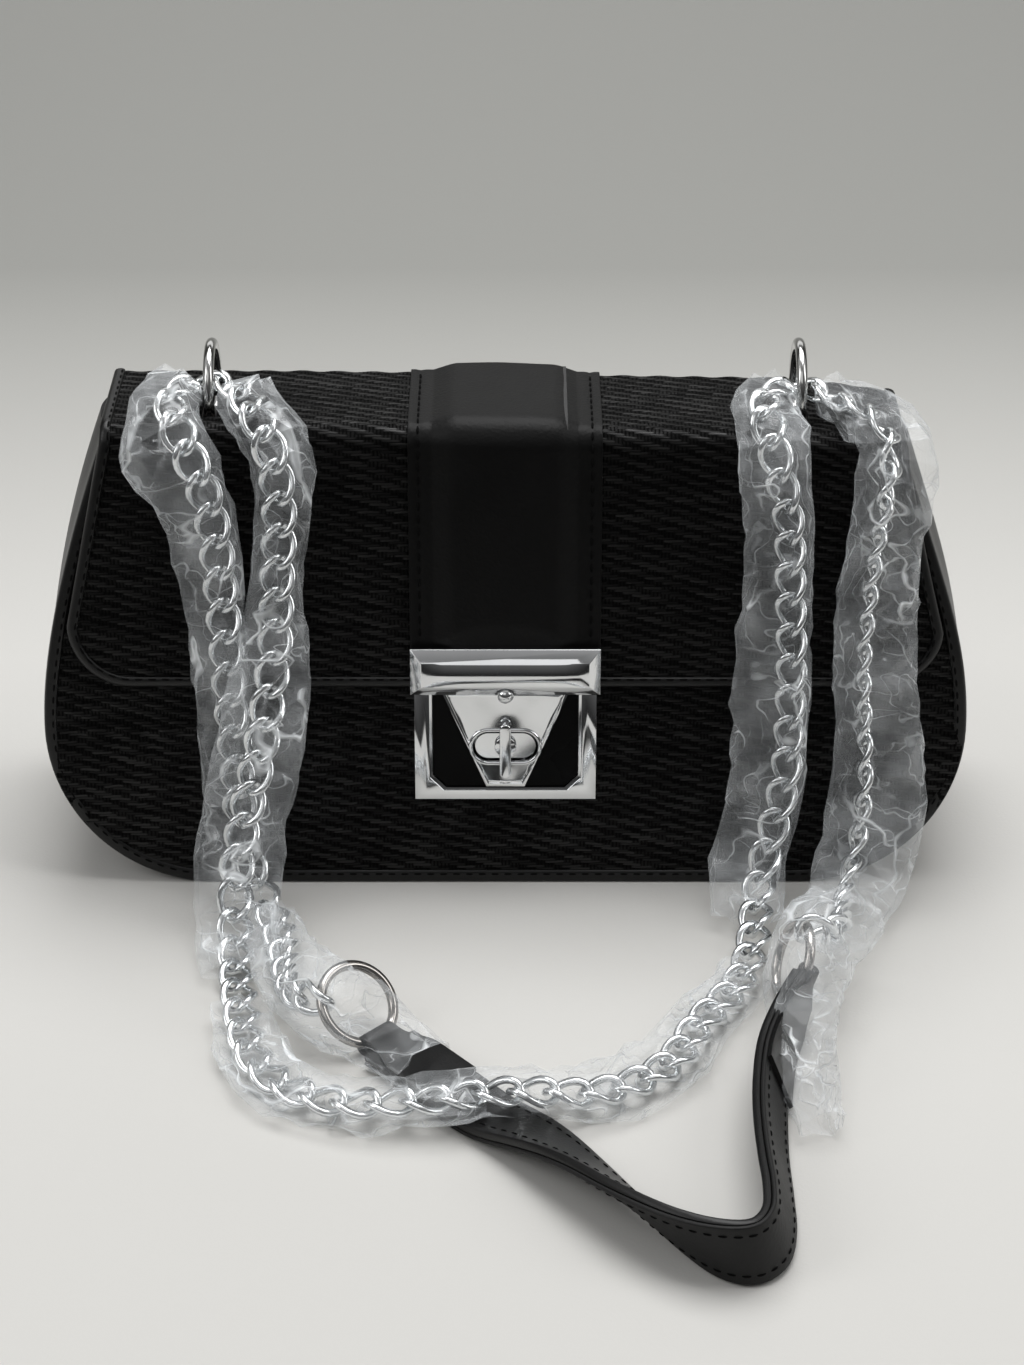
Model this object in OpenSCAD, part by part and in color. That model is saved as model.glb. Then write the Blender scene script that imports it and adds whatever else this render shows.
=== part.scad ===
// Chain shoulder bag: woven flap bag, turn lock, curb chain strap with a leather shoulder pad.
// The origin is the middle of the base, on the floor. The front faces -Y and +Z is up.

/* [Bag body] */
// Width of the bag at its widest
bag_w = 280; // [240:1:320]
// Height of the open bag, without its flap
bag_h = 142; // [125:1:160]
// Depth of the bag at the base
base_d = 80; // [68:1:96]
// Depth of the bag at the mouth
mouth_d = 36; // [34:1:44]
// Width of the bag at the mouth
mouth_w = 236; // [220:1:250]
// Radius of the lower corners
corner_r = 50; // [36:1:56]
// Thickness of the woven skin
weave_t = 1.2; // [0.9:0.1:1.5]
// Thickness of the smooth gusset
gusset_t = 1.4; // [1:0.1:2]
// Thickness of the stiffening boards in the panels
board_t = 1; // [0.6:0.1:1.4]
// Thickness of the lining
lining_t = 0.8; // [0.5:0.1:1.2]
// Thickness of the board in the base
base_board_t = 2; // [1.2:0.1:2.6]
// Width of the binding along the panels' edges
binding_w = 4; // [3:0.5:6]
// Thickness of that binding
binding_t = 0.8; // [0.6:0.1:1]

/* [Flap] */
// Height of the flap's lower edge above the floor
flap_low = 66; // [62:1:74]
// Width of the flap at its lower edge
flap_w = 262; // [240:1:268]
// Radius of the flap's lower corners
flap_corner_r = 19; // [12:1:28]
// Radius of the bend at the top front edge
bend_r = 3; // [2:0.5:3]
// Space left between the flap and what it closes over
flap_gap = 0.4; // [0.3:0.1:0.6]
// Width of the binding along the flap's edge
flap_binding_w = 3; // [2:0.5:5]
// Width of the smooth band over the flap
band_w = 57; // [48:1:64]
// Thickness of the band's leather
band_t = 1.2; // [1:0.1:1.5]
// Thickness of the padding under the band
band_pad_t = 1.5; // [1:0.1:2]

/* [Lock] */
// Width of the top bar
bar_w = 57; // [52:1:62]
// Height of the top bar
bar_h = 14.5; // [13:0.5:16]
// Thickness of the top bar
bar_t = 4.5; // [4:0.1:5.5]
// Width of the bar's bevels
bar_bevel = 3.4; // [2.5:0.1:4]
// Width of the frame
frame_w = 55; // [50:1:58]
// Height of the frame
frame_h = 36.5; // [34:0.5:37.5]
// Thickness of the frame at its borders
frame_t = 3.2; // [2.8:0.1:3.6]
// Width of the frame's side borders
frame_side = 5.3; // [4:0.1:6.5]
// Width of the frame's lower border
frame_foot = 4; // [3:0.1:5]
// Size of the chamfers in the frame's inner corners
frame_chamfer = 4.2; // [3:0.1:5]
// Width of the tongue at the bar
tongue_top_w = 38.4; // [34:0.2:41]
// Width of the tongue at its lower end
tongue_foot_w = 11.6; // [9:0.2:14]
// Length of the tongue
tongue_h = 31; // [29:0.5:32]
// Thickness of the tongue
tongue_t = 1.8; // [1.5:0.1:2]
// Length of the slot in the tongue
slot_w = 20.2; // [19:0.2:22]
// Height of the slot in the tongue
slot_h = 10; // [9.5:0.1:11]
// Length of the turning bar
knob_w = 17.5; // [15:0.5:18]
// Width of the turning bar
knob_d = 3.5; // [3:0.1:4]
// Radius of the knob's spindle
spindle_r = 1.6; // [1.3:0.1:1.9]

/* [Rings] */
// Distance of each top ring from the middle
ring_x = 87; // [80:1:92]
// Outer radius of the top rings
ring_r = 14; // [13:0.5:14.5]
// Wire radius of the top rings
ring_wire_r = 1.6; // [1.3:0.1:1.7]
// Outer radius of the shoulder pad's rings
pad_ring_r = 13; // [12:0.5:14]
// Wire radius of the shoulder pad's rings
pad_ring_wire_r = 1.5; // [1.2:0.1:1.6]

/* [Chain] */
// Length of a link outside
link_l = 15.3; // [14.8:0.1:15.8]
// Width of a link outside
link_w = 11.2; // [10.6:0.1:11.6]
// Radius of the chain's wire
link_wire_r = 1.05; // [0.9:0.05:1.1]
// Distance from one link to the next
pitch = 9.9; // [9.7:0.05:10]

/* [Shoulder pad] */
// Width of the pad's strap
strap_w = 19; // [17:0.5:20]
// Thickness of the pad's outer leather
strap_t = 2.4; // [2:0.1:2.6]
// Thickness of the pad's backing leather
backing_t = 1.4; // [1:0.1:1.6]
// Thickness of the clear film round the chain
film_t = 0.2; // [0.15:0.05:0.3]

/* [Hidden] */
$fn = 48;
overrun = 1;
seat = 0.2;
round_steps = 8;
side_steps = 8;
side_rise_share = 0.35;

lean = atan((base_d - mouth_d) / (2 * bag_h));
lean_cos = cos(lean);
slope_h = bag_h / lean_cos;
inner_t = weave_t + board_t;
backing_plate_t = lining_t;
lining_out = inner_t + backing_plate_t;
wall_t = lining_out + lining_t;
base_in = gusset_t + base_board_t + seat;

// Outline of the bag seen from the front, drawn in by a distance from its edge
function half_outline(inset, top) =
    let (r = corner_r - inset, cx = bag_w / 2 - corner_r, wide = bag_w / 2 - inset,
         tip = mouth_w / 2 - inset, rise = corner_r + side_rise_share * (top - corner_r))
    concat(
        [for (i = [0:round_steps]) let (a = -90 + 90 * i / round_steps)
            [cx + r * cos(a), corner_r + r * sin(a)]],
        [for (i = [1:side_steps]) let (t = i / side_steps)
            [(1 - t) * (1 - t) * wide + 2 * t * (1 - t) * wide + t * t * tip,
             (1 - t) * (1 - t) * corner_r + 2 * t * (1 - t) * rise + t * t * top]]);
function mirrored(p) = concat(p, [for (i = [len(p) - 1:-1:0]) [-p[i][0], p[i][1]]]);

module outline_block(inset) {
    rotate([90, 0, 0])
        linear_extrude(height = base_d + 2 * bend_r, center = true)
            polygon(mirrored(half_outline(inset, bag_h)));
}

// Depth coordinate of the front's plane at a height, moved out by an offset
function front_y(z, out) = -base_d / 2 + z * (base_d - mouth_d) / (2 * bag_h) - out / lean_cos;

module front_slab(from, to) {
    rotate([90, 0, 90])
        linear_extrude(height = bag_w + 2 * bend_r, center = true)
            polygon([[front_y(0, from), 0], [front_y(0, to), 0],
                     [front_y(bag_h, to), bag_h], [front_y(bag_h, from), bag_h]]);
}
module front_layer(inset, from, to) {
    intersection() {
        outline_block(inset);
        front_slab(from, to);
    }
}
module at_back() mirror([0, 1, 0]) children();

// The space between two planes that follow the front and the back
module wedge(depth) {
    rotate([90, 0, 90])
        linear_extrude(height = bag_w + 2 * bend_r, center = true)
            polygon([[front_y(0, -depth), 0], [-front_y(0, -depth), 0],
                     [-front_y(bag_h, -depth), bag_h], [front_y(bag_h, -depth), bag_h]]);
}

// Places a piece drawn flat on the front: x across, y up the slope, z out of the front
module on_front(out) {
    translate([0, -base_d / 2, 0]) rotate([90 - lean, 0, 0]) translate([0, 0, out]) children();
}

// Where the lock sits, as distances up the slope
bar_lip_t = 1;
flap_edge_p = flap_low / lean_cos;
bar_drop = 1.5;
bar_low_p = flap_edge_p - bar_drop;
knob_share = 0.58;
knob_p = bar_low_p - tongue_h * knob_share;
frame_low_p = bar_low_p - frame_h;
rivet_r = 0.9;
rivet_gap = 0.05;
rivet_x = frame_w / 2 - frame_side / 2;
rivet_rows = [frame_low_p + frame_side, frame_low_p + frame_h - frame_side];

module rivet_places() {
    for (side = [-1, 1], row = rivet_rows) translate([side * rivet_x, row, 0]) children();
}
module lock_holes() {
    on_front(-wall_t) {
        rivet_places() cylinder(r = rivet_r + rivet_gap, h = wall_t + overrun);
        translate([0, knob_p, -overrun])
            cylinder(r = spindle_r + 4 * rivet_gap, h = wall_t + 2 * overrun);
    }
}

// Body
module front_panel() color("#151515") difference() {
    front_layer(binding_t, -weave_t, 0);
    lock_holes();
}
module back_panel() color("#151515") at_back() front_layer(binding_t, -weave_t, 0);
module gusset() color("#1a1a1a") intersection() {
    difference() {
        outline_block(0);
        outline_block(gusset_t);
    }
    wedge(weave_t + binding_t);
}
binding_drop = 2.2;
module edge_binding() {
    difference() {
        front_layer(0, -weave_t - binding_t, binding_t);
        front_layer(binding_t, -weave_t - binding_t - overrun, 0);
        front_layer(binding_w, -overrun, binding_t + overrun);
        translate([0, 0, 3 * bag_h / 2 - binding_drop])
            cube([bag_w, 2 * base_d, bag_h], center = true);
    }
}
module front_binding() color("#101010") edge_binding();
module back_binding() color("#101010") at_back() edge_binding();
module front_board() color("#6b6258") difference() {
    front_layer(base_in, -inner_t, -weave_t);
    lock_holes();
}
module back_board() color("#6b6258") at_back() front_layer(base_in, -inner_t, -weave_t);
module base_board() color("#6b6258") {
    board_w = bag_w - 2 * corner_r;
    board_d = base_d - 2 * (wall_t + base_board_t);
    translate([-board_w / 2, -board_d / 2, gusset_t])
        cube([board_w, board_d, base_board_t]);
}
module front_lining() color("#2b2b2b") difference() {
    front_layer(base_in, -wall_t, -lining_out);
    on_front(-wall_t) translate([0, knob_p, -overrun])
        cylinder(r = spindle_r + 4 * rivet_gap, h = wall_t + 2 * overrun);
}
module back_lining() color("#2b2b2b") at_back()
    front_layer(base_in, -inner_t - lining_t, -inner_t);
module gusset_lining() color("#2b2b2b") intersection() {
    difference() {
        outline_block(base_in);
        outline_block(base_in + lining_t);
    }
    wedge(wall_t);
}
facing_h = 18;
module facing_slab() translate([0, 0, bag_h - facing_h / 2])
    cube([mouth_w - 2 * base_in - 2 * facing_h, base_d, facing_h], center = true);
module front_facing() color("#191919") intersection() {
    front_slab(-wall_t - lining_t, -wall_t);
    facing_slab();
}
module back_facing() color("#191919") difference() {
    intersection() {
        at_back() front_slab(-inner_t - 2 * lining_t, -inner_t - lining_t);
        facing_slab();
    }
    for (side = [-1, 1]) translate([side * ring_x, 0, bag_h - facing_h / 2])
        cube([tab_flange_w + 2 * seat, base_d, facing_h + 2 * overrun], center = true);
}
pocket_w = 150;
pocket_h = 84;
pocket_low = 26;
module pocket_panel() color("#242424") intersection() {
    at_back() front_slab(-inner_t - 2 * lining_t, -inner_t - lining_t);
    translate([0, base_d / 2, pocket_low + pocket_h / 2])
        cube([pocket_w, base_d, pocket_h], center = true);
}

// Top rings and the leather tabs that hold them
ring_y = 2;
ring_z = bag_h + 7;
ring_centre_r = ring_r - ring_wire_r;
tab_t = 1.4;
tab_loop_w = 8;
tab_bore_r = ring_wire_r + pow(tab_loop_w / 2, 2) / (2 * ring_centre_r) + 4 * rivet_gap;
tab_loop_r = tab_bore_r + tab_t;
tab_wire_z = ring_z - ring_centre_r;
tab_flange_w = 20;
tab_flange_h = 24;
tab_drop = 18;
tab_web_low = tab_wire_z - tab_loop_r - tab_drop;
function back_in(z) = -front_y(z, -inner_t - lining_t);
module ring_tab(side) color("#141414") translate([side * ring_x, 0, 0]) {
    difference() {
        union() {
            translate([0, ring_y - tab_loop_w / 2, tab_wire_z]) rotate([-90, 0, 0])
                cylinder(r = tab_loop_r, h = tab_loop_w);
            rotate([90, 0, 90]) linear_extrude(height = 2 * tab_t, center = true)
                polygon([[ring_y - tab_loop_w / 2, tab_wire_z - tab_bore_r],
                         [ring_y + tab_loop_w / 2, tab_wire_z - tab_bore_r],
                         [back_in(tab_wire_z - tab_loop_r) - tab_t / 2, tab_wire_z - tab_loop_r],
                         [back_in(tab_web_low) - tab_t / 2, tab_web_low],
                         [ring_y - tab_loop_w / 2, tab_web_low + tab_flange_h / 2]]);
        }
        translate([0, ring_y - tab_loop_w / 2 - overrun, tab_wire_z]) rotate([-90, 0, 0])
            cylinder(r = tab_bore_r, h = tab_loop_w + 2 * overrun);
    }
    intersection() {
        at_back() front_slab(-inner_t - lining_t - tab_t, -inner_t - lining_t);
        translate([0, base_d / 2, tab_web_low + tab_flange_h / 2])
            cube([tab_flange_w, base_d, tab_flange_h], center = true);
    }
}
module ring_tab_left() ring_tab(-1);
module ring_tab_right() ring_tab(1);
module torus(centre_r, wire_r) rotate_extrude() translate([centre_r, 0]) circle(r = wire_r);
module top_ring(side) color("#c8c8c8") translate([side * ring_x, ring_y, ring_z])
    rotate([0, 90, 0]) torus(ring_centre_r, ring_wire_r);
module ring_left() top_ring(-1);
module ring_right() top_ring(1);

// Flap: its layers follow one path, from the hinge over the mouth and down the front
flap_in = binding_t + flap_gap;
hinge_y = mouth_d / 2 + binding_t + flap_gap;
hinge_z = bag_h + 2 * flap_gap;
flap_t = lining_t + board_t + weave_t;
bend_steps = 6;
flap_top_w = mouth_w + 2 * flap_gap;
slit_clear = 0.7;
slit_w = 2 * (ring_wire_r + slit_clear);
ring_reach = norm([hinge_y - ring_y, hinge_z - ring_z]) + ring_r;
slit_front = hinge_y - ring_reach - overrun;
slit_back = ring_y + ring_r + flap_gap;
// Points of a path at a height over the flap's inner face, from the hinge to the lower edge
function flap_path(out, low) =
    let (r = bend_r + out, turn = 90 - lean,
         cy = front_y(bag_h, flap_in) + bend_r / lean_cos + (hinge_z - bag_h) * tan(lean)
            - bend_r * tan(lean), cz = hinge_z - bend_r)
    concat([[hinge_y, hinge_z + out]],
        [for (i = [0:bend_steps]) let (a = 90 + turn * i / bend_steps)
            [cy + r * cos(a), cz + r * sin(a)]],
        [[front_y(low, flap_in + out), low]]);
function backwards(p) = [for (i = [len(p) - 1:-1:0]) p[i]];
module flap_strip(from, to, low, width) {
    rotate([90, 0, 90]) linear_extrude(height = width, center = true)
        polygon(concat(flap_path(to, low), backwards(flap_path(from, low))));
}
// Outline of the flap seen from the front
function flap_outline(inset) =
    let (r = flap_corner_r - inset, low = flap_low + inset, wide = flap_w / 2 - inset,
         tip = flap_top_w / 2 - inset)
    mirrored(concat(
        [for (i = [0:round_steps]) let (a = -90 + 90 * i / round_steps)
            [wide - r + r * cos(a), low + r + r * sin(a)]],
        [[tip, bag_h], [tip, bag_h + 2 * corner_r]]));
module flap_block(inset) rotate([90, 0, 0])
    linear_extrude(height = 2 * base_d, center = true) polygon(flap_outline(inset));
module ring_slits() for (side = [-1, 1])
    translate([side * ring_x - slit_w / 2, slit_front, hinge_z - overrun])
        cube([slit_w, slit_back - slit_front, flap_t + 2 * overrun]);
module flap_layer(inset, from, to) difference() {
    intersection() {
        flap_strip(from, to, flap_low - overrun, bag_w);
        flap_block(inset);
    }
    ring_slits();
}
screw_x = 21;
module screw_places() for (side = [-1, 1])
    translate([side * screw_x, bar_low_p + bar_h / 2 + bar_lip_t / 2, 0]) children();
module screw_holes() on_front(0) screw_places() cylinder(r = rivet_r + rivet_gap, h = bar_h);
module flap_lining() color("#1c1c1c") difference() {
    flap_layer(binding_t, 0, lining_t);
    screw_holes();
}
module flap_board() color("#6b6258") difference() {
    flap_layer(flap_binding_w, lining_t, lining_t + board_t);
    screw_holes();
}
module flap_outer() color("#151515") difference() {
    flap_layer(binding_t, lining_t + board_t, flap_t);
    screw_holes();
}
module flap_binding() color("#101010") difference() {
    intersection() {
        flap_strip(0, flap_t + binding_t, flap_low - overrun, bag_w);
        flap_block(0);
    }
    intersection() {
        flap_strip(-overrun, flap_t, flap_low - 2 * overrun, bag_w);
        flap_block(binding_t);
    }
    flap_block(flap_binding_w);
    translate([-bag_w / 2, -base_d, bag_h + flap_gap]) cube([bag_w, 2 * base_d, bag_h]);
    on_front(0) translate([-(band_w + 2 * seat) / 2, 0, -overrun])
        cube([band_w + 2 * seat, 2 * bag_h, base_d]);
}
band_low = flap_low + 2 * flap_gap;
band_edge_w = 10;
band_pad_w = band_w - 2 * band_edge_w;
module centre_band() color("#121212") difference() {
    flap_strip(flap_t, flap_t + band_pad_t + band_t, band_low, band_w);
    flap_strip(flap_t - overrun, flap_t + band_pad_t, band_low - overrun, band_pad_w);
    screw_holes();
}
module band_padding() color("#3a3a3a")
    flap_strip(flap_t, flap_t + band_pad_t, band_low, band_pad_w - 2 * seat);

// Lock
band_out = flap_in + flap_t + band_pad_t + band_t;
tongue_out = frame_t + 2 * seat;
plate_t = 1.2;
inlay_t = 0.8;
module lock_bar() color("#e0e0e0") on_front(0) difference() {
    union() {
        translate([0, bar_low_p, band_out]) intersection() {
            bar_across();
            bar_along();
        }
        translate([-frame_w / 2, bar_low_p, tongue_out])
            cube([frame_w, bar_lip_t, band_out + bar_t / 3 - tongue_out]);
    }
    screw_places() cylinder(r = rivet_r + rivet_gap, h = band_out + bar_t / 2);
    translate([0, bar_low_p, band_out + bar_t / 3]) cylinder(r = notch_r, h = bar_t);
}
notch_r = 3;
module bar_across() rotate([90, 0, 90]) linear_extrude(height = bar_w, center = true)
    polygon([[0, 0], [bar_h, 0], [bar_h, bar_t / 3], [bar_h - bar_bevel, bar_t],
             [bar_bevel, bar_t], [0, bar_t / 3]]);
module bar_along() translate([0, bar_h + overrun, 0]) rotate([90, 0, 0])
    linear_extrude(height = bar_h + 2 * overrun)
        polygon([[-bar_w / 2, 0], [bar_w / 2, 0], [bar_w / 2, bar_t / 3],
                 [bar_w / 2 - bar_bevel, bar_t], [bar_bevel - bar_w / 2, bar_t],
                 [-bar_w / 2, bar_t / 3]]);
function tongue_outline(inset) =
    [[-tongue_foot_w / 2 + inset, -tongue_h + inset], [tongue_foot_w / 2 - inset, -tongue_h + inset],
     [tongue_top_w / 2 - inset, -inset], [-tongue_top_w / 2 + inset, -inset]];
module slot_shape(grow) {
    r = slot_h / 2 + grow;
    for (side = [-1, 1]) translate([side * (slot_w - slot_h) / 2, 0]) circle(r = r);
    square([slot_w - slot_h, 2 * r], center = true);
}
rim_w = 1;
tongue_lip_t = 0.3;
tongue_border = 0.9;
module lock_tongue() color("#e4e4e4") on_front(tongue_out) difference() {
    translate([0, bar_low_p, 0]) difference() {
        linear_extrude(height = tongue_t) polygon(tongue_outline(0));
        translate([0, 0, tongue_t - tongue_lip_t]) linear_extrude(height = tongue_t)
            polygon(tongue_outline(tongue_border));
    }
    translate([0, knob_p, -overrun]) linear_extrude(height = tongue_t + 2 * overrun)
        slot_shape(rim_w / 2);
    translate([0, knob_p, tongue_t - tongue_lip_t]) linear_extrude(height = tongue_t)
        slot_shape(rim_w);
}
module slot_rim() color("#e8e8e8") on_front(tongue_out) translate([0, knob_p, 0]) difference() {
    union() {
        linear_extrude(height = tongue_t) slot_shape(rim_w / 2);
        translate([0, 0, tongue_t - tongue_lip_t]) linear_extrude(height = 2 * tongue_lip_t)
            slot_shape(rim_w);
    }
    translate([0, 0, -overrun]) linear_extrude(height = 2 * tongue_t + 2 * overrun) slot_shape(0);
}
module tongue_rivet() color("#f0f0f0") on_front(band_out + bar_t / 3)
    translate([0, bar_low_p, 0]) intersection() {
        sphere(r = notch_r - 2 * seat);
        cylinder(r = notch_r, h = notch_r);
    }
module bar_screws() color("#b8b8b8") on_front(0) screw_places() {
    translate([0, 0, flap_in - binding_t / 2]) cylinder(r = 2 * rivet_r, h = binding_t / 2);
    translate([0, 0, flap_in]) cylinder(r = rivet_r, h = band_out + bar_t / 3 - flap_in);
}
module frame_shape(inset) polygon([[-frame_w / 2 + inset, 0], [frame_w / 2 - inset, 0],
    [frame_w / 2, frame_h], [-frame_w / 2, frame_h]]);
module frame_window(grow) {
    x = frame_w / 2 - frame_side + grow;
    y = frame_foot - grow;
    polygon([[-x + frame_chamfer, y], [x - frame_chamfer, y], [x, y + frame_chamfer],
             [x, frame_h - frame_foot / 2], [-x, frame_h - frame_foot / 2],
             [-x, y + frame_chamfer]]);
}
module lock_frame() color("#dcdcdc") on_front(0) difference() {
    translate([0, frame_low_p, 0]) difference() {
        linear_extrude(height = frame_t) frame_shape(inlay_t / 2);
        translate([0, 0, plate_t]) linear_extrude(height = frame_t) frame_window(0);
        translate([0, 0, frame_t - inlay_t / 2]) linear_extrude(height = frame_t)
            frame_window(inlay_t);
    }
    rivet_places() cylinder(r = rivet_r + rivet_gap, h = 3 * plate_t, center = true);
    translate([0, knob_p, -overrun]) cylinder(r = spindle_r + rivet_gap, h = frame_t);
}
base_clear = 1;
base_w = slot_w - 2 * base_clear;
base_h = slot_h - 2 * base_clear;
module lock_inlay() color("#0c0c0c") on_front(plate_t) difference() {
    translate([0, frame_low_p, 0]) linear_extrude(height = inlay_t)
        frame_window(-seat);
    translate([0, knob_p, -overrun]) cylinder(r = base_w / 2 + seat, h = frame_t);
}
module knob_base() color("#d8d8d8") on_front(plate_t) translate([0, knob_p, 0]) difference() {
    linear_extrude(height = tongue_out + tongue_t / 2 - plate_t) {
        for (side = [-1, 1]) translate([side * (base_w - base_h) / 2, 0]) circle(d = base_h);
        square([base_w - base_h, base_h], center = true);
    }
    translate([0, 0, -overrun])
        cylinder(r = spindle_r + rivet_gap, h = tongue_out + tongue_t + 2 * overrun);
}
module lock_backing() color("#9a9a9a") on_front(-lining_out) difference() {
    translate([-frame_w / 2, frame_low_p, 0]) cube([frame_w, frame_h, backing_plate_t]);
    rivet_places() cylinder(r = rivet_r + rivet_gap, h = 4 * plate_t, center = true);
    translate([0, knob_p, -overrun]) cylinder(r = spindle_r + rivet_gap, h = 4 * plate_t);
}
module lock_rivets() color("#a8a8a8") on_front(-lining_out) rivet_places()
    cylinder(r = rivet_r, h = lining_out + plate_t / 2);
knob_rise = 3.4;
neck_low = tongue_out + tongue_t / 2 + seat;
knob_low = tongue_out + tongue_t + tongue_lip_t + 2 * seat;
module turn_knob() color("#ececec") on_front(0) translate([0, knob_p, 0]) {
    translate([0, 0, -wall_t - 2 * seat]) cylinder(r = spindle_r, h = wall_t + knob_low + 3 * seat);
    translate([0, 0, neck_low]) cylinder(r = knob_d - seat, h = knob_low - neck_low + seat);
    translate([0, 0, knob_low]) intersection() {
        linear_extrude(height = 2 * knob_rise) {
            for (side = [-1, 1]) translate([0, side * (knob_w - knob_d) / 2])
                circle(d = knob_d);
            square([knob_d, knob_w - knob_d], center = true);
        }
        translate([knob_d, 0, -knob_w]) rotate([0, -90, 0])
            cylinder(r = knob_w + knob_rise, h = 2 * knob_d, $fn = 96);
    }
}
module knob_washer() color("#9a9a9a") on_front(-wall_t - 2 * seat - plate_t)
    translate([0, knob_p, 0]) cylinder(r = 3 * spindle_r, h = plate_t);

// Chain route from the left ring of the shoulder pad to the right one: place, then the turn of
// the surface under it about X and the roll of the links about the chain
chain_route = [
    [[-51, -124, 16], [0, 90]], [[-56.5, -120, 13.5], [0, 87]], [[-61, -113, 11], [0, 79]],
    [[-63.5, -104, 8], [0, 66]], [[-64.5, -93, 6], [0, 48]], [[-66, -82, 5], [0, 32]],
    [[-68.5, -71, 4.5], [0, 14]], [[-72, -61, 5], [10, 0]], [[-76.5, -52, 9.5], [50, 0]],
    [[-80, -46, 20], [80, 0]], [[-81, -43, 40], [82, 0]], [[-82, -40, 60], [82, 0]],
    [[-83, -36.5, 80], [82, 0]], [[-84, -33, 100], [82, 0]], [[-86, -30, 122], [82, 0]],
    [[-90, -28.5, 136], [72, 0]], [[-94.5, -24.5, 145], [48, 0]],
    [[-97.5, -17.5, 149.5], [15, 0]], [[-97.5, -9.5, 151], [0, 0]], [[-94, -3, 151], [0, 0]],
    [[-87, 0, 151], [0, 0]], [[-80, -3, 151], [0, 0]], [[-76.5, -9.5, 151], [0, 0]],
    [[-74, -17, 150], [10, 0]], [[-70, -24, 146.5], [40, 0]], [[-67, -28.5, 138], [70, 0]],
    [[-66, -30, 122], [82, 0]], [[-67.5, -33, 100], [82, 0]], [[-68.5, -37, 80], [82, 0]],
    [[-72, -49, 58], [82, 0]], [[-77, -55, 38], [80, 0]], [[-80.5, -61, 21], [65, 0]],
    [[-81, -71, 9], [30, 0]], [[-79.5, -87, 4], [0, 0]], [[-77, -107, 4], [0, 0]],
    [[-72, -132, 4], [0, 0]], [[-62, -148, 4], [0, 0]], [[-44, -157, 5], [0, 0]],
    [[-27, -160, 8], [0, 0]], [[-16, -160, 9], [0, 0]], [[-6, -158, 9.2], [0, 0]],
    [[4, -157, 9], [0, 0]], [[14, -156, 8], [0, 0]], [[28, -152, 5], [0, 0]],
    [[46, -139, 4], [0, 0]], [[57, -117, 4], [0, 0]], [[69, -99, 4], [0, 0]],
    [[74, -80, 6], [0, 16]], [[76, -62, 9], [30, 30]], [[79, -52, 19], [65, 38]],
    [[84, -46, 39], [82, 40]], [[85, -42, 60], [82, 40]], [[85, -38, 80], [82, 40]],
    [[84, -34.5, 100], [82, 40]], [[83, -31.5, 122], [82, 36]], [[80, -30, 136], [72, 30]],
    [[77.5, -25.5, 146], [48, 24]], [[76, -18, 151], [15, 18]], [[76.5, -10, 152], [0, 12]],
    [[80, -3, 152], [0, 6]], [[87, 0, 152], [0, 0]], [[94, -3, 152], [0, 10]],
    [[99, -8.5, 152], [0, 22]], [[104.5, -14, 152.5], [0, 36]], [[110, -20.5, 152], [20, 52]],
    [[112, -27.5, 147.5], [48, 66]], [[111, -31.5, 136], [75, 78]], [[109, -33, 122], [82, 86]],
    [[107, -36, 100], [82, 90]], [[106, -39.5, 80], [82, 90]], [[107, -43, 60], [82, 90]],
    [[108, -46, 40], [78, 92]], [[107, -49.5, 25], [70, 94]], [[104.5, -54.5, 15.5], [55, 96]],
    [[102, -63, 10.5], [25, 98]], [[99.5, -75, 10.5], [5, 102]], [[98.5, -86, 14.5], [0, 108]],
    [[95.5, -95.5, 20], [0, 114]], [[85.5, -101.5, 25], [0, 120]]];

// A smooth curve through the route's points
route_steps = 6;
function spline(a, b, c, d, t) = 0.5 * (2 * b + (c - a) * t + (2 * a - 5 * b + 4 * c - d) * t * t
    + (3 * b - a - 3 * c + d) * t * t * t);
function smooth(table, col) = let (n = len(table)) concat(
    [for (i = [0:n - 2], k = [0:route_steps - 1])
        spline(table[max(i - 1, 0)][col], table[i][col], table[i + 1][col],
               table[min(i + 2, n - 1)][col], k / route_steps)],
    [table[n - 1][col]]);
function run_lengths(p) = [for (i = 0, s = 0; i < len(p); s = s + (i + 1 < len(p) ?
    norm(p[i + 1] - p[i]) : 0), i = i + 1) s];
function column(keys, rows, c) = [for (i = [0:len(keys) - 1]) [keys[i], rows[i][c]]];
function tables(route) = let (p = smooth(route, 0), q = smooth(route, 1), s = run_lengths(p))
    [[for (c = [0:2]) column(s, p, c)], [for (c = [0:1]) column(s, q, c)], s[len(s) - 1]];
function at_run(t, s) = [for (c = [0:2]) lookup(s, t[0][c])];
function turn_at(t, s) = [for (c = [0:1]) lookup(s, t[1][c])];
function unit(v) = v / norm(v);
function frame_at(t, s, along) =
    let (q = turn_at(t, s), n0 = [0, -sin(q[0]), cos(q[0])],
         n1 = unit(n0 - (n0 * along) * along), b1 = cross(n1, along))
    [n1 * cos(q[1]) + b1 * sin(q[1]), b1 * cos(q[1]) - n1 * sin(q[1])];

chain = tables(chain_route);
chain_l = chain[2];
links = floor(chain_l / pitch);
step = chain_l / links;
link_a = link_l / 2 - link_wire_r;
link_b = link_w / 2 - link_wire_r;
link_turn = 45;
wire_sides = 5;
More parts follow.
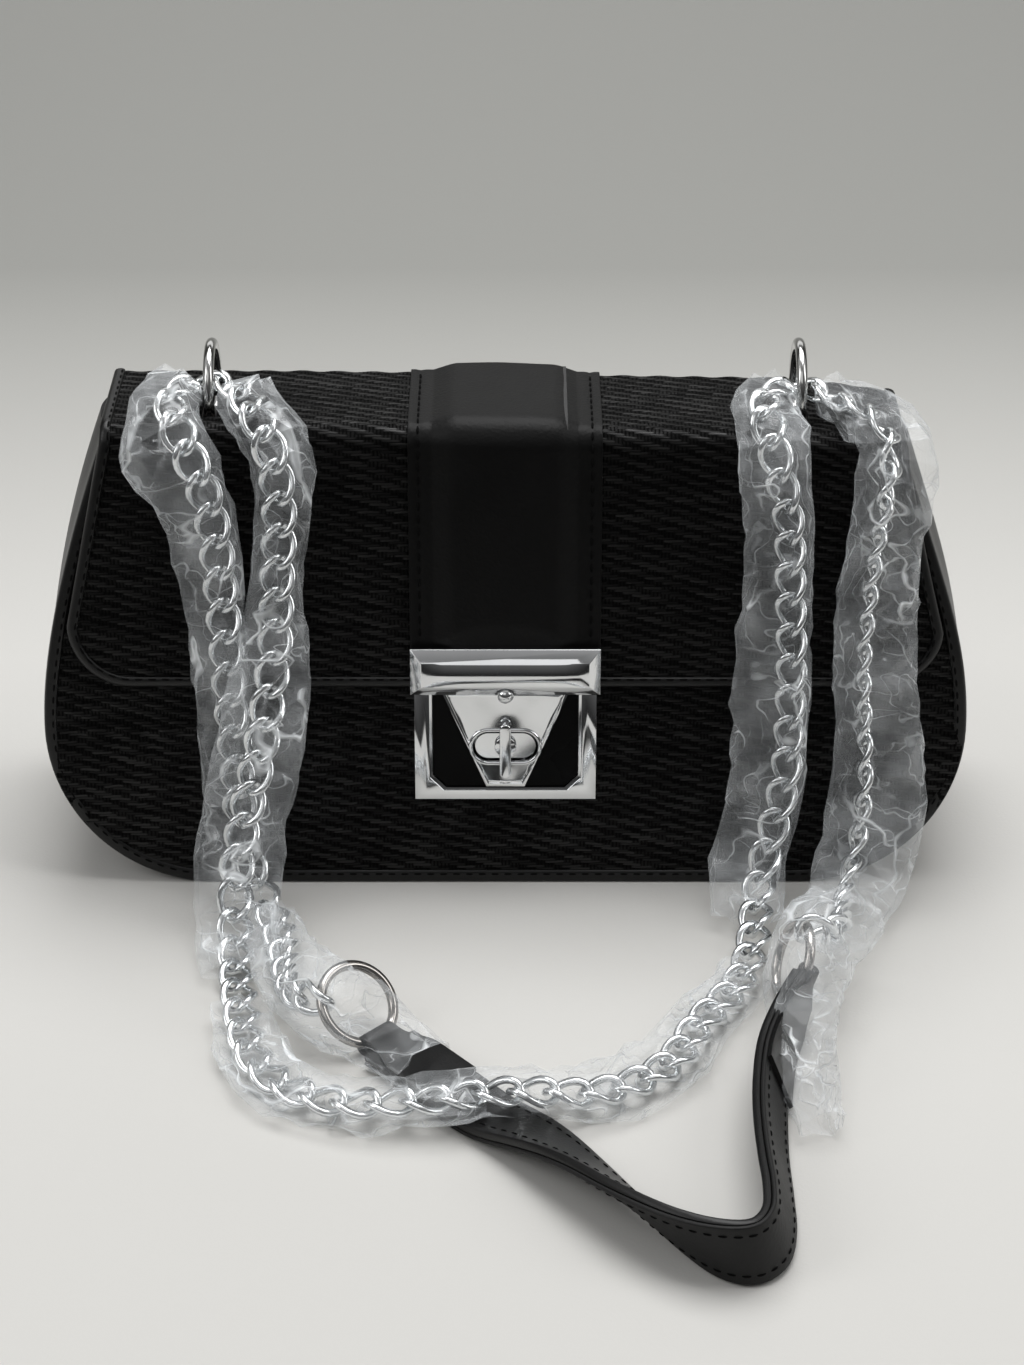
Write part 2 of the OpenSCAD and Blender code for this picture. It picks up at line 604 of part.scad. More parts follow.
// Angles round the oval at which the wire's rings sit, closer together at its two ends
link_angles = [0, 28, 62, 118, 152, 180, 208, 242, 298, 332];
link_rings = len(link_angles);
function link_line(a) =
    let (x = link_a * cos(a), y = link_b * sin(a), w = link_turn * cos(a))
    [x, y * cos(w), y * sin(w)];
function link_points() = [for (a = link_angles)
    let (d = link_turn / link_rings, c = link_line(a),
         t = unit(link_line(a + d) - link_line(a - d)), w = link_turn * cos(a),
         flat = [0, -sin(w), cos(w)], n = unit(flat - (flat * t) * t), b = cross(t, n))
    for (k = [0:wire_sides - 1]) let (g = 360 * k / wire_sides)
        c + link_wire_r * (n * cos(g) + b * sin(g))];
function loop_faces(rings, sides) = [for (i = [0:rings - 1], k = [0:sides - 1],
    h = [0, 1]) let (a = i * sides + k, b = i * sides + (k + 1) % sides,
        c = ((i + 1) % rings) * sides + k, d = ((i + 1) % rings) * sides + (k + 1) % sides)
    h == 0 ? [a, d, b] : [a, c, d]];
one_link = link_points();
function placed(points, centre, along, n, b) =
    [for (p = points) centre + along * p[0] + b * p[1] + n * p[2]];
module link(i) {
    from = at_run(chain, i * step);
    to = at_run(chain, (i + 1) * step);
    along = unit(to - from);
    f = frame_at(chain, (i + 0.5) * step, along);
    polyhedron(placed(one_link, (from + to) / 2, along, f[0], f[1]),
        loop_faces(link_rings, wire_sides));
}
module links_between(from, to) color("#d4d7da") for (i = [from:to]) link(i);
// Rows of the route at which one strand of the chain ends and the next one starts: the left
// ring, the floor, where it rises again, and the right ring
strand_rows = [0, 20, 33, 48, 60, len(chain_route) - 1];
function row_run(row) = chain[0][0][row * route_steps][0];
function strand(i) = floor(row_run(strand_rows[i]) / step + 0.5);
module chain_left_back() links_between(strand(0), strand(1) - 1);
module chain_left_front() links_between(strand(1), strand(2) - 1);
module chain_floor() links_between(strand(2), strand(3) - 1);
module chain_right_inner() links_between(strand(3), strand(4) - 1);
module chain_right_outer() links_between(strand(4), strand(5) - 1);

// Shoulder pad: place of the strap's middle, then its turn about its own length, from 0 where
// it lies flat to 90 where it stands on its edge
pad_route = [
    [[-34.5, -127, 2], [3, 0]], [[-25, -137, 2], [2, 0]], [[-14, -149, 1.6], [0, 0]],
    [[-4, -160, 1.8], [2, 0]], [[8, -172, 4.5], [14, 0]], [[20, -187, 7.2], [34, 0]],
    [[33, -204, 8.8], [50, 0]], [[45, -217, 9.6], [66, 0]], [[55, -224, 10], [82, 0]],
    [[64, -225, 10], [94, 0]], [[70, -219, 10.2], [104, 0]], [[72, -208, 10.2], [110, 0]],
    [[72, -194, 10.2], [113, 0]], [[72, -178, 10.2], [113, 0]], [[73, -162, 10.2], [112, 0]],
    [[75, -146, 10.4], [108, 0]], [[79, -131, 11], [100, 0]], [[85.5, -114.5, 12], [92, 0]]];
pad = tables(pad_route);
pad_l = pad[2];
pad_spans = 18;
function pad_frame(s) =
    let (d = overrun / 2, t = unit(at_run(pad, min(s + d, pad_l)) - at_run(pad, max(s - d, 0))),
         q = turn_at(pad, s)[0], side = unit([t[1], -t[0], 0]), up = unit(cross(side, t)))
    [side * cos(q) + up * sin(q), up * cos(q) - side * sin(q)];
function rounded(w, lo, hi, r) = [[-w / 2 + r, lo], [w / 2 - r, lo], [w / 2, lo + r],
    [w / 2, hi - r], [w / 2 - r, hi], [-w / 2 + r, hi], [-w / 2, hi - r], [-w / 2, lo + r]];
// The strap's sections stand at equal stations, and its two ends are drawn in by a length
function station(i, back) = min(max(pad_l * i / pad_spans, back), pad_l - back);
function tube_points(from, to, back, shape) = [for (i = [from:to])
    let (s = station(i, back), c = at_run(pad, s), f = pad_frame(s))
    for (p = shape) c + f[0] * p[0] + f[1] * p[1]];
function tube_faces(rings, sides) = concat(
    [[for (k = [sides - 1:-1:0]) k]],
    [for (i = [0:rings - 2], k = [0:sides - 1], h = [0, 1])
        let (a = i * sides + k, b = i * sides + (k + 1) % sides, c = a + sides, d = b + sides)
        2 * k < sides ? (h == 0 ? [a, d, c] : [a, b, d]) : (h == 0 ? [a, b, c] : [b, d, c])],
    [[for (k = [0:sides - 1]) (rings - 1) * sides + k]]);
module strap_run(from, to, back, shape)
    polyhedron(tube_points(from, to, back, shape), tube_faces(to - from + 1, len(shape)));
edge_r = 0.5;
tail_left_spans = 2;
tail_right_spans = 3;
tail_gap = 0.1;
pad_clear = 2.6;
module pad_outer() color("#131313")
    strap_run(0, pad_spans, pad_clear, rounded(strap_w, 0, strap_t, edge_r));
module pad_backing() color("#1b1b1b")
    strap_run(0, pad_spans, pad_clear, rounded(strap_w, -backing_t, 0, edge_r));

// The pad's rings: place, then tilt, heading and the angle at which the leather folds round them
pad_ring_centre_r = pad_ring_r - pad_ring_wire_r;
pad_ring_left_at = [-42, -119.7, 11.4];
pad_ring_left_turn = [44, -45, 0];
pad_ring_right_at = [83.5, -101, 13];
pad_ring_right_turn = [70, 188, 90];
module in_ring(at, turn) translate(at) rotate([0, turn[0], turn[1]]) children();
module pad_ring(at, turn) color("#8d8f92") in_ring(at, turn)
    torus(pad_ring_centre_r, pad_ring_wire_r);
module pad_ring_left() pad_ring(pad_ring_left_at, pad_ring_left_turn);
module pad_ring_right() pad_ring(pad_ring_right_at, pad_ring_right_turn);
fold_w = 10;
fold_clear = 0.3;
fold_bow = pad_ring_centre_r - sqrt(pow(pad_ring_centre_r, 2) - pow(fold_w / 2, 2)) + seat;
module fold_shape(grow) for (x = [0:1]) {
    translate([-x * fold_bow, 0]) circle(r = pad_ring_wire_r + fold_clear + grow, $fn = 24);
    translate([-fold_bow, -pad_ring_wire_r - fold_clear - grow])
        square([fold_bow, 2 * (pad_ring_wire_r + fold_clear + grow)]);
}
// The leather's fold round a ring
module pad_fold(at, turn) in_ring(at, turn) rotate([0, 0, turn[2]])
    translate([pad_ring_centre_r, 0, 0]) rotate([90, 0, 0])
        linear_extrude(height = fold_w, center = true) difference() {
            fold_shape(backing_t);
            fold_shape(0);
        }
module pad_tail_left() color("#131313") {
    strap_run(0, tail_left_spans, 0,
        rounded(strap_w, strap_t + tail_gap, strap_t + tail_gap + backing_t, edge_r));
    pad_fold(pad_ring_left_at, pad_ring_left_turn);
}
module pad_tail_right() color("#131313") {
    strap_run(pad_spans - tail_right_spans, pad_spans, 0,
        rounded(strap_w, -2 * backing_t - tail_gap, -backing_t - tail_gap, edge_r));
    pad_fold(pad_ring_right_at, pad_ring_right_turn);
}

// Clear film sleeves round the chain
film_sides = 8;
function film_points(rows, half_w, half_t) = [for (i = [rows[0]:rows[1]])
    let (s = row_run(i), c = at_run(chain, s),
         d = pitch / 2, t = unit(at_run(chain, s + d) - at_run(chain, s - d)),
         q = turn_at(chain, s), n0 = [0, -sin(q[0]), cos(q[0])],
         n = unit(n0 - (n0 * t) * t), b = cross(n, t))
    for (k = [0:film_sides - 1]) let (g = 360 * (k + 0.5) / film_sides)
        c + b * half_w * cos(g) + n * half_t * sin(g)];
function sleeve_faces(rings, sides) = let (inner = rings * sides) concat(
    [for (i = [0:rings - 2], k = [0:sides - 1], h = [0, 1])
        let (a = i * sides + k, b = i * sides + (k + 1) % sides, c = a + sides, d = b + sides)
        h == 0 ? [a, c, d] : [a, d, b]],
    [for (i = [0:rings - 2], k = [0:sides - 1], h = [0, 1])
        let (a = inner + i * sides + k, b = inner + i * sides + (k + 1) % sides,
             c = a + sides, d = b + sides)
        h == 0 ? [a, d, c] : [a, b, d]],
    [for (k = [0:sides - 1], h = [0, 1]) let (a = k, b = (k + 1) % sides)
        h == 0 ? [a, inner + b, inner + a] : [a, b, inner + b]],
    [for (k = [0:sides - 1], h = [0, 1])
        let (a = (rings - 1) * sides + k, b = (rings - 1) * sides + (k + 1) % sides)
        h == 0 ? [a, inner + b, b] : [a, inner + a, inner + b]]);
// A sleeve between two rows of the route
module sleeve(rows, half_w, half_t) color([0.9, 0.92, 0.95, 0.3])
    polyhedron(concat(film_points(rows, half_w, half_t),
        film_points(rows, half_w - film_t, half_t - film_t)),
        sleeve_faces(rows[1] - rows[0] + 1, film_sides));
film_half_w = 9;
snug_half_w = 7;
flat_half_t = 4.1;
tilted_half_t = 5.6;
upright_half_t = 6.8;
module film_left_back() sleeve([9, 14], snug_half_w, flat_half_t);
module film_left_front() sleeve([26, 30], snug_half_w, flat_half_t);
module film_floor() sleeve([34, 46], film_half_w, flat_half_t);
module film_right_inner() sleeve([49, 54], film_half_w, tilted_half_t);
module film_right_outer() sleeve([67, 71], film_half_w, upright_half_t);

front_panel();
back_panel();
gusset();
front_binding();
back_binding();
front_board();
back_board();
base_board();
front_lining();
back_lining();
gusset_lining();
front_facing();
back_facing();
pocket_panel();
ring_tab_left();
ring_tab_right();
lock_frame();
lock_inlay();
knob_base();
lock_backing();
lock_rivets();
turn_knob();
knob_washer();
flap_outer();
flap_board();
flap_lining();
flap_binding();
centre_band();
band_padding();
lock_bar();
lock_tongue();
slot_rim();
tongue_rivet();
bar_screws();
ring_left();
ring_right();
pad_ring_left();
pad_ring_right();
chain_left_back();
chain_left_front();
chain_floor();
chain_right_inner();
chain_right_outer();
pad_outer();
pad_backing();
pad_tail_left();
pad_tail_right();
film_left_back();
film_left_front();
film_floor();
film_right_inner();
film_right_outer();
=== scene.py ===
"""Chain shoulder bag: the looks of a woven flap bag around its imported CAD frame.

Lengths are in metres, in the CAD's frame: the origin is the middle of the base, on the floor,
the front faces -Y and +Z is up.
"""

import logging
import math
from collections.abc import Callable, Sequence
from dataclasses import dataclass, field
from enum import Enum

import bmesh
import bpy
import numpy as np
from mathutils import Matrix, Vector


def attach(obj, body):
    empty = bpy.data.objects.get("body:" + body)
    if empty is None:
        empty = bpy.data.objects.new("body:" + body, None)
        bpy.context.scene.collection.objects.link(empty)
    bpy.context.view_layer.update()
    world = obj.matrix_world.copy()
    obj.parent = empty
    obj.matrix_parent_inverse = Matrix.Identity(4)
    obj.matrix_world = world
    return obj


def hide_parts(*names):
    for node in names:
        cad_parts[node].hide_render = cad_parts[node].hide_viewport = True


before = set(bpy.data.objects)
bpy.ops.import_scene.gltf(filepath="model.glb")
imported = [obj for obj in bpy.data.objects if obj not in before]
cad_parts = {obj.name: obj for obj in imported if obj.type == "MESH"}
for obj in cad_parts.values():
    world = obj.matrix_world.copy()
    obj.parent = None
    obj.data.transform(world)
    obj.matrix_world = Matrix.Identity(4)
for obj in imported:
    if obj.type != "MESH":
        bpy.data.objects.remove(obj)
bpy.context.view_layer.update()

log = logging.getLogger("bag")
logging.basicConfig(level=logging.INFO, format="%(name)s: %(message)s")

MM = 0.001
GAP = 0.0001
TINY = 0.00001
PITCH, REPEAT, SHIFT = 0.0008, 0.0108, 0.00253
Array = np.ndarray
Colour = tuple[float, float, float, float]
Piece = bpy.types.Object
Material = bpy.types.Material
Node = bpy.types.Node
Socket = bpy.types.NodeSocket


class Body(Enum):
    """The CAD bodies that the pieces ride on."""

    BAG = "bag"
    FLAP = "flap"
    KNOB = "knob"


class Slot(Enum):
    """The record's material slots."""

    STRAW = "woven_straw"
    LEATHER = "smooth_leather"
    BACKING = "backing_leather"
    BOARD = "board"
    LINING = "lining_cloth"
    FOAM = "band_foam"
    LOCK = "lock_metal"
    INLAY = "lock_inlay"
    FIXING = "fixing_steel"
    RING = "ring_metal"
    PAD_RING = "pad_ring_metal"
    CHAIN = "chain_metal"
    FILM = "clear_film"


class Part(Enum):
    """What an edit step works on."""

    FACE = "FACE"
    EDGE = "EDGE"


def grey(level: float, warmth: float = 0.0) -> Colour:
    """A grey colour, a little warmer or, below zero, cooler."""
    return (level * (1 + warmth), level, level * (1 - warmth), 1.0)


# Meshes


def choose(piece: Piece) -> None:
    """Deselects everything and then makes one object selected and active.

    Args:
        piece: The object.
    """
    bpy.ops.object.select_all(action="DESELECT")
    piece.select_set(True)
    bpy.context.view_layer.objects.active = piece


def finish_with(piece: Piece, kind: str, **settings: object) -> None:
    """Adds a modifier to a piece and applies it.

    Args:
        piece: The piece.
        kind: The modifier's type.
        settings: The modifier's settings by name.
    """
    modifier = piece.modifiers.new(kind.lower(), kind)
    for name, value in settings.items():
        setattr(modifier, name, value)
    choose(piece)
    bpy.ops.object.modifier_apply(modifier=modifier.name)


def round_off(piece: Piece, width: float, segments: int = 2) -> None:
    """Bevels a piece's sharp edges by a width.

    Args:
        piece: The piece.
        width: The bevel's width.
        segments: Its steps.
    """
    finish_with(piece, "BEVEL", width=width, segments=segments, limit_method="ANGLE",
                angle_limit=math.radians(30), harden_normals=False)


def shade(piece: Piece, degrees: float = 35) -> None:
    """Shades a piece smooth, but not over edges sharper than an angle."""
    choose(piece)
    bpy.ops.object.shade_smooth_by_angle(angle=math.radians(degrees))


def grid_piece(name: str, points: Array, cut: Array | None = None, wrap: bool = False,
               caps: bool = False) -> Piece:
    """Makes an object from a grid of points.

    Args:
        name: The piece's name.
        points: Rows by columns by three.
        cut: Rows by columns by two, where each point lies on the flat material, in metres; with
            wrap it has one column more.
        wrap: Joins the last column to the first.
        caps: Closes the first and the last row of a wrapped grid.

    Returns:
        The new object.
    """
    rows, cols = points.shape[:2]
    index = np.arange(rows * cols).reshape(rows, cols)
    here = index if wrap else index[:, :-1]
    beside = np.roll(index, -1, axis=1) if wrap else index[:, 1:]
    quads = np.stack([here[:-1], beside[:-1], beside[1:], here[1:]], axis=-1).reshape(-1, 4)
    faces = quads.tolist()
    if caps:
        faces += [index[0, ::-1].tolist(), index[-1].tolist()]
    mesh = bpy.data.meshes.new(name)
    mesh.from_pydata(points.reshape(-1, 3).tolist(), [], faces)
    if cut is not None:
        layer = mesh.uv_layers.new(name="cut")
        a, b = cut[:, :-1], cut[:, 1:]
        corners = np.stack([a[:-1], b[:-1], b[1:], a[1:]], axis=-2).reshape(-1, 2)
        uv = np.zeros((len(mesh.loops), 2), np.float32)
        uv[: len(corners)] = corners
        layer.data.foreach_set("uv", uv.ravel())
    mesh.validate()
    piece = bpy.data.objects.new(name, mesh)
    bpy.context.scene.collection.objects.link(piece)
    return piece


def merged(name: str, parts: Sequence[Piece]) -> Piece:
    """Joins several objects into one with a new name.

    Args:
        name: The new name.
        parts: The objects.

    Returns:
        The joined object.
    """
    bpy.ops.object.select_all(action="DESELECT")
    for part in parts:
        part.select_set(True)
    bpy.context.view_layer.objects.active = parts[0]
    if len(parts) > 1:
        bpy.ops.object.join()
    parts[0].name = parts[0].data.name = name
    return parts[0]


def primitive(name: str, add: Callable, place: Sequence[float], **sizes: object) -> Piece:
    """Adds one of Blender's own shapes and applies where it stands.

    Args:
        name: The new piece's name.
        add: The operator that adds it.
        place: Where its middle goes.
        sizes: The operator's sizes by name.

    Returns:
        The new object.
    """
    bpy.ops.object.select_all(action="DESELECT")
    add(location=place, **sizes)
    piece = bpy.context.object
    piece.name = piece.data.name = name
    bpy.ops.object.transform_apply(location=True, rotation=True, scale=True)
    return piece


def without(piece: Piece, gone: Callable[[bmesh.types.BMFace], bool]) -> None:
    """Deletes the faces that a test takes.

    Args:
        piece: The piece.
        gone: Says whether a face goes.
    """
    work = bmesh.new()
    work.from_mesh(piece.data)
    bmesh.ops.delete(work, geom=[f for f in work.faces if gone(f)], context="FACES")
    work.to_mesh(piece.data)
    work.free()


def copies(name: str, points: Array, faces: Array) -> Piece:
    """Makes one object from many copies of a small mesh.

    Args:
        name: The piece's name.
        points: Copies by vertices by three.
        faces: The quads of one copy.

    Returns:
        The new object.
    """
    count, size = points.shape[:2]
    every = (faces[None] + (np.arange(count) * size)[:, None, None]).reshape(-1, faces.shape[1])
    mesh = bpy.data.meshes.new(name)
    mesh.from_pydata(points.reshape(-1, 3).tolist(), [], every.tolist())
    piece = bpy.data.objects.new(name, mesh)
    bpy.context.scene.collection.objects.link(piece)
    return piece


def unit(v: Array) -> Array:
    """Vectors of length one in the directions of v."""
    return v / np.maximum(np.linalg.norm(v, axis=-1, keepdims=True), 1e-12)


def square_to(v: Array, t: Array) -> Array:
    """The directions v, turned square to the directions t."""
    return unit(v - (v * t).sum(axis=1, keepdims=True) * t)


def set_at(place: Array, t: Array, side: Array, out: Array, shape: Array) -> Array:
    """A small shape's points at each place, laid along, across and out of its directions."""
    return place[:, None] + (
        t[:, None] * shape[:, :1] + side[:, None] * shape[:, 1:2] + out[:, None] * shape[:, 2:])


def inward_of(line: Array, centre: Sequence[float]) -> Array:
    """The directions square to a flat line, on the side of a centre.

    Args:
        line: The line's points, with two columns.
        centre: A point on the wanted side.

    Returns:
        One direction for each point of the line.
    """
    t = unit(np.gradient(line, axis=0))
    inward = np.stack([t[:, 1], -t[:, 0]], axis=1)
    return inward * np.sign((inward * (np.array(centre) - line)).sum(1, keepdims=True))


def runs(line: Array) -> Array:
    """How far along a line each of its points lies."""
    return np.concatenate([[0.0], np.cumsum(np.linalg.norm(np.diff(line, axis=0), axis=1))])


def along(line: Array, at: Array) -> Array:
    """The points of a line, or of values that go with it, at distances along its first columns."""
    run = runs(line[:, :3])
    return np.stack([np.interp(at, run, line[:, k]) for k in range(line.shape[1])], axis=1)


def ease(x: Array | float) -> Array | float:
    """A smooth step from 0 to 1 between 0 and 1."""
    t = np.clip(x, 0.0, 1.0)
    return t * t * (3 - 2 * t)


def ripple(x: Array, y: Array, size: float, seed: int, waves: int = 7) -> Array:
    """Smooth seeded unevenness from -1 to 1, with features about as wide as size.

    Args:
        x: The first coordinates.
        y: The second ones.
        size: The features' width.
        seed: The seed.
        waves: How many waves are added up.

    Returns:
        One value a place.
    """
    rng = np.random.default_rng(seed)
    total = np.zeros(np.broadcast(x, y).shape)
    for _ in range(waves):
        heading, phase = rng.uniform(0, 2 * math.pi, 2)
        rate = 2 * math.pi / (size * rng.uniform(0.7, 1.6))
        total = total + np.sin(rate * (x * math.cos(heading) + y * math.sin(heading)) + phase)
    return total / waves


def dress(piece: Piece, body: Body, slot: Slot, finish: Material, *nodes: str) -> Piece:
    """Gives a piece its finish and body, and hides the CAD nodes that it stands for.

    Args:
        piece: The new piece.
        body: The CAD body that it rides on.
        slot: The record's material slot; not used.
        finish: Its material.
        nodes: The CAD nodes that it replaces.

    Returns:
        The piece.
    """
    piece.data.materials.clear()
    piece.data.materials.append(finish)
    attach(piece, body.value)
    if nodes:
        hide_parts(*nodes)
    log.info("%s rides on %s, %d faces", piece.name, body.value, len(piece.data.polygons))
    return piece


def dress_node(name: str, finish: Material) -> None:
    """Gives a CAD node that stays its finish.

    Args:
        name: The node's name.
        finish: Its material.
    """
    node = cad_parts[name]
    node.data.materials.clear()
    node.data.materials.append(finish)
    log.info("%s keeps its CAD shape", name)


# Finishes


class Board:
    """Adds and links the nodes of one tree."""

    def __init__(self, tree: bpy.types.NodeTree) -> None:
        """Starts on a tree."""
        self.tree = tree

    def add(self, kind: str, inputs: dict | None = None, **settings: object) -> Node:
        """Adds a node.

        Args:
            kind: The node's type, without the leading ShaderNode.
            inputs: Values or sockets for its inputs, by name or index.
            settings: Its settings by name.

        Returns:
            The node.
        """
        node = self.tree.nodes.new(kind if kind.startswith("Node") else "ShaderNode" + kind)
        for name, value in settings.items():
            setattr(node, name, value)
        for key, value in (inputs or {}).items():
            self.feed(node, key, value)
        return node

    def feed(self, node: Node, key: str | int, value: object) -> None:
        """Links a socket to a node's input, or sets the input's value.

        Args:
            node: The node.
            key: The input's name or index.
            value: A socket or a value.
        """
        if isinstance(value, Socket):
            self.tree.links.new(value, node.inputs[key])
        else:
            node.inputs[key].default_value = value

    def sum(self, operation: str, *values: object) -> Socket:
        """The result of a math operation on values or sockets."""
        return self.add("Math", dict(enumerate(values)), operation=operation).outputs[0]

    def vector(self, operation: str, *values: object) -> Socket:
        """The result of a vector operation on values or sockets."""
        return self.add("VectorMath", dict(enumerate(values)), operation=operation).outputs[0]

    def spread(self, value: object, low: float, high: float, to: tuple) -> Socket:
        """Maps a value from a range to another one, and clamps it there.

        Args:
            value: A value or a socket.
            low: The range's start.
            high: Its end.
            to: The other range.

        Returns:
            The mapped value.
        """
        ends = {"From Min": low, "From Max": high, "To Min": to[0], "To Max": to[1]}
        return self.add("MapRange", {"Value": value, **ends}, clamp=True).outputs["Result"]

    def tint(self, factor: object, a: Colour, b: Colour) -> Socket:
        """A colour between two, by a factor.

        Args:
            factor: The second colour's share.
            a: The first colour.
            b: The second one.

        Returns:
            The mixed colour.
        """
        node = self.add("Mix", {"Factor": factor}, data_type="RGBA")
        for key, value in (("A", a), ("B", b)):
            colour = [s for s in node.inputs if s.name == key and s.type == "RGBA"][0]
            colour.default_value = value
        return [s for s in node.outputs if s.type == "RGBA"][0]


@dataclass
class Effect:
    """A shared effect: a node group that several finishes place with their own values."""

    name: str
    inputs: tuple[tuple[str, str, object], ...]
    outputs: tuple[tuple[str, str], ...]
    draw: Callable[[Board, Node], dict]
    group: bpy.types.NodeTree | None = None

    def tree(self) -> bpy.types.NodeTree:
        """The group, built on first use.

        Returns:
            The group.
        """
        if self.group is None:
            group = bpy.data.node_groups.new(self.name, "ShaderNodeTree")
            for label, kind, value in self.inputs:
                made = group.interface.new_socket(label, in_out="INPUT", socket_type=kind)
                if value is not None:
                    made.default_value = value
            for label, kind in self.outputs:
                group.interface.new_socket(label, in_out="OUTPUT", socket_type=kind)
            board = Board(group)
            start, end = board.add("NodeGroupInput"), board.add("NodeGroupOutput")
            for label, socket in self.draw(board, start).items():
                board.feed(end, label, socket)
            self.group = group
        return self.group

    def place(self, board: Board, **values: object) -> Node:
        """Adds the effect to a material's tree with its own values.

        Args:
            board: The material's board.
            values: The effect's values by name.

        Returns:
            The group's node.
        """
        node = board.tree.nodes.new("ShaderNodeGroup")
        node.node_tree = self.tree()
        for label, value in values.items():
            board.feed(node, label.replace("_", " ").capitalize(), value)
        return node


FLOAT, VECTOR = "NodeSocketFloat", "NodeSocketVector"


def draw_straw(board: Board, start: Node) -> dict:
    """Flat straws woven in a stepped twill: level floats with upright straws between them, with painted
    shade in the gaps and painted glints on random floats.

    Args:
        board: The group's board.
        start: Its input node.

    Returns:
        The outputs' sockets by name.
    """
    place, pitch = start.outputs["Place"], start.outputs["Pitch"]
    repeat, shift = start.outputs["Repeat"], start.outputs["Shift"]
    drift = board.add("TexNoise", {"Vector": place, "Scale": 150.0, "Detail": 4.0})
    moved = board.vector("SUBTRACT", drift.outputs["Color"], (0.5, 0.5, 0.5))
    swing = board.add("VectorMath", {0: moved, "Scale": start.outputs["Drift"]}, operation="SCALE")
    there = board.vector("ADD", place, swing.outputs[0])
    axes = board.add("SeparateXYZ", {0: there})
    across, up = axes.outputs[0], axes.outputs[1]
    level = board.sum("DIVIDE", up, pitch)
    row = board.sum("FLOOR", level)
    height_in_row = board.sum("FRACT", level)
    slid = board.sum("DIVIDE", board.sum("MULTIPLY_ADD", row, shift, across), repeat)
    phase, number = board.sum("FRACT", slid), board.sum("FLOOR", slid)
    seed = board.add("CombineXYZ", {0: row, 1: number})
    chance = board.add("TexWhiteNoise", {"Vector": seed.outputs[0]}, noise_dimensions="2D")
    share = board.sum("MULTIPLY_ADD", chance.outputs["Value"], 0.12, 0.5)
    over = board.sum("LESS_THAN", phase, share)
    middle = board.sum("MULTIPLY_ADD", height_in_row, 2.0, -1.0)
    crown = board.sum("SQRT", board.sum("SUBTRACT", 1.0, board.sum("MULTIPLY", middle, middle)))
    left = board.sum("DIVIDE", phase, share)
    ends = board.sum("MULTIPLY", left, board.sum("SUBTRACT", 1.0, left))
    taper = board.sum("MINIMUM", board.sum("MULTIPLY", ends, 9.0), 1.0)
    float_height = board.sum("MULTIPLY", crown, board.sum("MULTIPLY_ADD", taper, 0.75, 0.25))
    warp = board.sum("FRACT", board.sum("DIVIDE", across, start.outputs["Upright pitch"]))
    warp_middle = board.sum("MULTIPLY_ADD", warp, 2.0, -1.0)
    warp_crown = board.sum("SUBTRACT", 1.0, board.sum("MULTIPLY", warp_middle, warp_middle))
    under_height = board.sum("MULTIPLY", warp_crown, 0.34)
    relief = board.add("Mix", {"Factor": over, 2: under_height, 3: float_height},
                       data_type="FLOAT").outputs[0]
    # Painted glints: floats chosen at random get a brighter colour.
    mixed = board.sum("FRACT", board.sum("MULTIPLY", chance.outputs["Value"], 7.0))
    bright = board.sum("MULTIPLY_ADD", board.sum("POWER", mixed, 1.8), 0.72, 0.28)
    # Painted light: the low relief in the gaps between floats darkens the colour as painted shade, and
    # the glints lift some floats.
    return {"Relief": relief, "Shade": board.sum("MULTIPLY", bright, relief)}


def draw_grain(board: Board, start: Node) -> dict:
    """Fine leather grain: small cells with soft creases between them, and slow unevenness.

    Args:
        board: The group's board.
        start: Its input node.

    Returns:
        The outputs' sockets by name.
    """
    place = start.outputs["Place"]
    rate = board.sum("DIVIDE", 1.0, start.outputs["Cell"])
    bend = board.add("TexNoise", {"Vector": place, "Scale": 300.0, "Detail": 2.0})
    push = board.vector("MULTIPLY", bend.outputs["Color"], (0.0012, 0.0012, 0.0012))
    there = board.vector("ADD", place, push)
    cells = board.add("TexVoronoi", {"Vector": there, "Scale": rate}, feature="SMOOTH_F1")
    fine = board.add("TexNoise", {"Vector": place, "Scale": 2600.0, "Detail": 3.0})
    slow = board.add("TexNoise", {"Vector": place, "Scale": 38.0, "Detail": 3.0})
    pits = board.sum("POWER", cells.outputs["Distance"], 2.0)
    relief = board.sum("MULTIPLY_ADD", fine.outputs["Fac"], 0.35, pits)
    return {"Relief": relief, "Mottle": slow.outputs["Fac"]}


def draw_smudge(board: Board, start: Node) -> dict:
    """Slow smudges and fine rubbing on polished metal.

    Args:
        board: The group's board.
        start: Its input node.

    Returns:
        The outputs' sockets by name.
    """
    place = start.outputs["Place"]
    slow = board.add("TexNoise", {"Vector": place, "Scale": start.outputs["Scale"], "Detail": 4.0})
    fine = board.add("TexNoise", {"Vector": place, "Scale": 4200.0, "Detail": 2.0})
    dull = board.spread(slow.outputs["Fac"], 0.35, 0.75, (0.0, 1.0))
    return {"Dull": dull, "Rub": fine.outputs["Fac"]}


